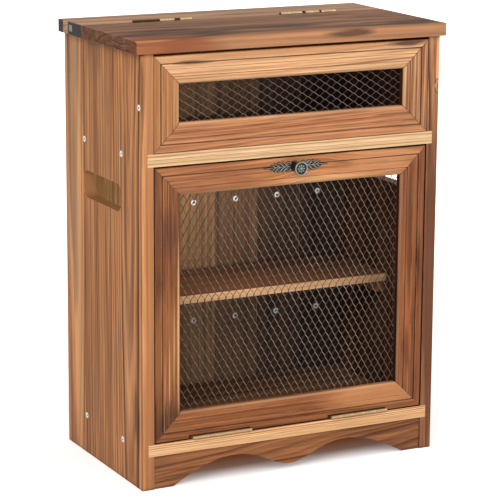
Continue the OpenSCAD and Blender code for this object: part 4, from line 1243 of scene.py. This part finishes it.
# %% All the screws, and the staples
FRONTWARD, BACKWARD, UPWARD, DOWNWARD, OUTWARD = (0, -1, 0), (0, 1, 0), (0, 0, 1), (0, 0, -1), None
LARGE = (9.0, 4.5)  # head and shank of the wood screws, in mm
SMALL = (5.2, 2.6)  # the same for the screws of the hinges and the catch
STEEL, BRASS = (zinc, "plated_steel"), (door_brass, "hinge_brass")
SCREWS = (
    ("side_screws", "Side screws", "cabinet", OUTWARD, *LARGE, 38, STEEL),
    ("back_screws", "Back screws", "cabinet", FRONTWARD, *LARGE, 15, STEEL),
    ("door_fixed_screws", "Door hinge screws, cabinet side", "cabinet", UPWARD, *SMALL, 12, BRASS),
    ("door_moving_screws", "Door hinge screws, door side", "door", DOWNWARD, *SMALL, 12, BRASS),
    ("lid_fixed_screws", "Lid hinge screws, strip side", "cabinet", FRONTWARD, *SMALL, 14, BRASS),
    ("lid_moving_screws", "Lid hinge screws, lid side", "lid", BACKWARD, *SMALL, 14, BRASS),
    ("catch_screws", "Catch screws", "cabinet", DOWNWARD, *SMALL, 17, STEEL),
    ("catch_plate_screw", "Catch plate screw", "door", BACKWARD, *SMALL, 11, STEEL),
    ("knob_screw", "Knob screw", "door", BACKWARD, 7.0, 4.0, 27, STEEL),
)
for name, label, body, aim, head, shank, length, finish in SCREWS:
    fixings(name, label, body, aim, head * MM, shank * MM, length * MM, *finish)
for name, body in (("upper_staples", "cabinet"), ("door_staples", "door")):
    board(name, name.replace("_", " ").capitalize(), body, zinc, 0.1 * MM, 1)
print("pieces so far:", {body: len(names) for body, names in PIECES.items()})

# %% [markdown]
# ## Knob
# The knob is a casting with a rosette of eight petals inside a rim, on a waisted neck. It is turned
# like the screw, from rows of points round its axis, but the face's height also changes with the
# angle, which gives the petals. It could be sculpted, but a sum keeps all eight petals alike. The same
# height is painted in as depth, so that the hollows stay black, as on the casting, and the neck is
# painted dark at full depth, as painted shade.

# %% Rosette knob
low, high = box("knob")
KNOB = (low + high) / 2
KNOB_RADIUS = (high.x - low.x) / 2
KNOB_FACE = low.y
KNOB_BASE = high.y
KNOB_AROUND = 96
PETALS = 8
FACE_RADII = (0.3, 0.9, 1.5, 1.79, 1.9, 2.25, 2.4, 3.0, 3.8, 4.6, 5.2, 5.7, 6.2, 6.55, 6.7, 7.4,
              8.25, 8.4, 8.9, 9.5, 10.0)


def knob_height(r, angle):
    """How far the knob's face stands back from its foremost point, in mm, at radius r mm."""
    if r < 1.8:
        return 0.3 + 0.2 * r * r / 3.2
    if r < 2.3:
        return 1.3
    if r < 6.6:
        gap = 1 - abs(math.cos(PETALS / 2 * angle)) ** 0.7
        fall = max(0.0, (r - 5.2) / 1.4) ** 2
        return 0.5 + 1.2 * gap + 1.0 * fall
    if r < 8.3:
        return 1.8
    if r <= 9.5:
        return 0.1
    return 0.1 + 1.6 * (r - 9.5)


def make_knob():
    verts, depths = [], []
    depth = (KNOB_BASE - KNOB_FACE) / MM
    neck = ((10.0, 2.6), (9.6, 4.0), (8.4, 6.0), (7.2, 8.2), (6.2, 10.0), (5.6, 12.0), (5.4, depth - 3.0),
            (6.0, depth - 1.8), (6.4, depth - 1.0), (6.4, depth))
    profile = [(r, None) for r in FACE_RADII] + list(neck)
    for radius, back in profile:
        for k in range(KNOB_AROUND):
            a = 2 * math.pi * k / KNOB_AROUND
            set_back = knob_height(radius, a) if back is None else back
            # the neck gets full depth, so it is painted dark: painted shade
            depths.append((set_back - 0.2) / 1.5 if back is None else 1.0)
            r = radius * KNOB_RADIUS / 10
            verts.append((KNOB.x + r * math.sin(a), KNOB_FACE + set_back * MM, KNOB.z + r * math.cos(a)))
    last = len(profile) - 1
    faces = walls([(row, row + 1) for row in range(last)], KNOB_AROUND)
    faces += [cap(0, KNOB_AROUND, turned_over=True), cap(last, KNOB_AROUND)]
    made = hidden_mesh("Rosette knob", verts, faces)
    paint_relief(made, depths)
    for face in made.data.polygons:
        face.use_smooth = True
    made.data.materials.append(knob_metal)
    return part_of(made, "door", "knob")


knob = make_knob()
print("knob of", round(2 * KNOB_RADIUS / MM, 1), "mm with", len(knob.data.polygons), "faces")

# %% [markdown]
# ## Pierced plate
# The plate behind the knob is a leafy scroll cast in one, with the wood showing through. Each leaf
# is a stroke: a smooth curve with a ridge that is high in the middle and runs out at both sides. A
# flat plate with a drawing on it would be quicker, but only real ridges catch the light. One quarter
# is written down and mirrored to the other three. A round seat in the middle takes the knob.

# %% One stroke of the scroll
low, high = box("knob_plate")
PLATE = (low + high) / 2
PLATE_SIZE = high - low
PLATE_BACK = high.y
PLATE_HALF = PLATE_SIZE.z / 2 / MM
DRAWN_LENGTH, DRAWN_HALF = 103, 7.75  # mm, what the strokes below were drawn for
STEPS = 4
# across a stroke: share of its width, share of the plate's thickness, painted depth; the dark
# skirt at both sides is painted shadow between the leaves
RIDGE = ((-0.95, 0.0, 1), (-0.62, 0.3, 1), (-0.2, 0.85, 0.3), (0.0, 1.0, 0), (0.2, 0.85, 0.3), (0.62, 0.3, 1),
         (0.95, 0.0, 1))


def along_curve(points, i, t):
    """A smooth curve through the points, at share t of the way from point i to the next."""
    a, b = points[i], points[i + 1]
    before, after = points[max(i - 1, 0)], points[min(i + 2, len(points) - 1)]

    def one(j):
        bend = 2 * before[j] - 5 * a[j] + 4 * b[j] - after[j]
        twist = -before[j] + 3 * a[j] - 3 * b[j] + after[j]
        return 0.5 * (2 * a[j] + (b[j] - before[j]) * t + bend * t * t + twist * t ** 3)
    return one(0), one(1)


def stroke(points, widths, sx, sz, verts, faces, depths):
    """Adds one stroke, mirrored by the signs sx and sz, as a closed ridge."""
    path = []
    for i in range(len(points) - 1):
        for s in range(STEPS):
            t = s / STEPS
            path.append((along_curve(points, i, t), widths[i] * (1 - t) + widths[i + 1] * t))
    path.append((points[-1], widths[-1]))
    start, row, last = len(verts), len(RIDGE), len(path) - 1
    for i, (p, width) in enumerate(path):
        before, after = path[max(i - 1, 0)][0], path[min(i + 1, last)][0]
        way = Vector((after[0] - before[0], after[1] - before[1])).normalized()
        side = Vector((-way.y, way.x))
        for share, lift, deep in RIDGE:
            x = (p[0] + side.x * width * share) * sx * PLATE_SIZE.x / MM / DRAWN_LENGTH
            z = (p[1] + side.y * width * share) * sz * PLATE_HALF / DRAWN_HALF
            z = min(max(z, -PLATE_HALF), PLATE_HALF)
            verts.append((PLATE.x + x * MM, PLATE_BACK - PLATE_SIZE.y * lift, PLATE.z + z * MM))
            depths.append(deep)
    skin = [cap(last, row, start), cap(0, row, start, turned_over=True)]
    skin += walls([(i, i + 1) for i in range(last)], row, start)
    faces.extend(face[::-1] if sx * sz > 0 else face for face in skin)


print("plate", [round(v / MM, 1) for v in PLATE_SIZE], "mm")

# %% The whole plate
# strokes of one quarter: points (along, up) and widths in mm, from the middle outwards
STROKES = (
    (((5, 0), (14, 0.2), (24, 0), (34, 0.2), (43, 0), (51, 0)), (2.4, 1.8, 1.6, 1.3, 1.6, 0.3)),
    (((7, 1), (9, 4.6), (12, 6.4), (15, 5.2), (14.6, 3.2), (12.8, 3.3)), (2.2, 2.0, 1.8, 1.5, 1.2, 0.8)),
    (((12, 0.6), (16.5, 3.0), (19.6, 6.4), (22.5, 7.2)), (1.4, 2.0, 1.7, 0.5)),
    (((17, 0.4), (21.5, 2.0), (25, 5.4), (28.5, 6.2), (28.4, 4.2), (26.6, 3.4)),
     (1.4, 2.0, 1.8, 1.5, 1.1, 0.7)),
    (((25, 0.4), (29, 1.8), (32.4, 4.8), (35.4, 5.6)), (1.4, 1.9, 1.6, 0.4)),
    (((31, 0.2), (34.6, 1.4), (37.6, 3.2), (39.6, 2.8), (38.8, 1.4)), (1.2, 1.6, 1.4, 1.0, 0.5)),
)
SEAT_AROUND = 40
BEADS = 10
BEAD = 0.4
# rings of the round seat: how far inside the plate's half height, share of its thickness, painted
# depth; the seat is mostly dark, as the knob's painted shadow
SEAT = ((0.45, 0.0, 1), (0.45, 0.6, 0.5), (1.3, 0.8, 0.9), (2.2, 0.8, 1), (2.6, 1.0, 0.9),
        (PLATE_HALF - 4.4, 1.0, 1))


def seat(verts, faces, depths):
    """The beaded round seat under the knob, closed at the front and at the back."""
    start = len(verts)
    for inset, lift, deep in SEAT:
        for k in range(SEAT_AROUND):
            a = 2 * math.pi * k / SEAT_AROUND
            r = (PLATE_HALF - inset + (BEAD * math.cos(BEADS * a) if lift < 0.7 else 0)) * MM
            y = PLATE_BACK - PLATE_SIZE.y * lift
            verts.append((KNOB.x + r * math.sin(a), y, PLATE.z + r * math.cos(a)))
            depths.append(deep)
    last = len(SEAT) - 1
    faces += walls([(row + 1, row) for row in range(last)], SEAT_AROUND, start)
    faces += [cap(0, SEAT_AROUND, start), cap(last, SEAT_AROUND, start, turned_over=True)]


def make_plate():
    verts, faces, depths = [], [], []
    for sx in (-1, 1):
        for index, (points, widths) in enumerate(STROKES):
            for sz in ((1,) if index == 0 else (-1, 1)):  # the first stroke is the stem
                stroke(points, widths, sx, sz, verts, faces, depths)
    seat(verts, faces, depths)
    made = hidden_mesh("Pierced plate", verts, faces)
    paint_relief(made, depths)
    made.data.materials.append(plate_metal)
    return part_of(made, "door", "knob_plate")


plate = make_plate()
print("plate with", len(plate.data.polygons), "faces; door pieces:", len(PIECES["door"]))

# %% [markdown]
# ## Floor
# The photograph's ground is white, with a warm shade close under the cabinet. A white floor alone
# would render grey, so it also shows a light of its own to the eye, brighter further away. Both the
# floor's colour and that light turn warm and dark inside the footprint.

# %% Pale floor
HALF_FOOTPRINT = 0.235
FLOOR_DROP = 0.2 * MM
FLOOR_HALF = 9
NEAR, FAR = 0.35, 1.5  # metres from the middle
NEAR_GLOW, FAR_GLOW = 0.42, 1.2
SHADE = colour(150, 104, 78)
SHADE_GLOW = colour(92, 50, 22)
WHITE_PAINT = (0.84, 0.84, 0.84, 1)

corners = [(x, y, -FLOOR_DROP) for x, y in ((-FLOOR_HALF, -FLOOR_HALF), (FLOOR_HALF, -FLOOR_HALF),
                                            (FLOOR_HALF, FLOOR_HALF), (-FLOOR_HALF, FLOOR_HALF))]
floor = hidden_mesh("Floor", corners, [(0, 1, 2, 3)])
ground, tree = new_material("Pale floor")
spot = node(tree, "ShaderNodeTexCoord").outputs["Object"]
here = parts_of(tree, spot)
beside = sums(tree, "SUBTRACT", sums(tree, "ABSOLUTE", here[0]), HALF_FOOTPRINT)
before = sums(tree, "SUBTRACT", FRONT, here[1])
behind = sums(tree, "SUBTRACT", here[1], SIZE_BEFORE[1][1])
outside = sums(tree, "MAXIMUM", beside, sums(tree, "MAXIMUM", before, behind))
open_air = ramp(tree, sums(tree, "MULTIPLY_ADD", outside, 5.0, 0.5), (0.06, 0.0), (0.26, 0.12), (0.5, 1.0))
matt = node(tree, "ShaderNodeBsdfDiffuse", {"Color": blend(tree, open_air, SHADE, WHITE_PAINT)})
away = {0: vectors(tree, "LENGTH", spot), 1: NEAR, 2: FAR, 3: NEAR_GLOW, 4: FAR_GLOW}
brighter = node(tree, "ShaderNodeMapRange", away, interpolation_type="SMOOTHSTEP").outputs[0]
shine = blend(tree, open_air, SHADE_GLOW, grey(tree, brighter))
to_the_eye = node(tree, "ShaderNodeLightPath").outputs["Is Camera Ray"]
glow = node(tree, "ShaderNodeEmission", {"Color": shine, "Strength": to_the_eye})
added = node(tree, "ShaderNodeAddShader", {0: matt.outputs[0], 1: glow.outputs[0]})
tree.links.new(added.outputs[0], node(tree, "ShaderNodeOutputMaterial").inputs[0])
floor.data.materials.append(ground)
print("floor", 2 * FLOOR_HALF, "m wide")
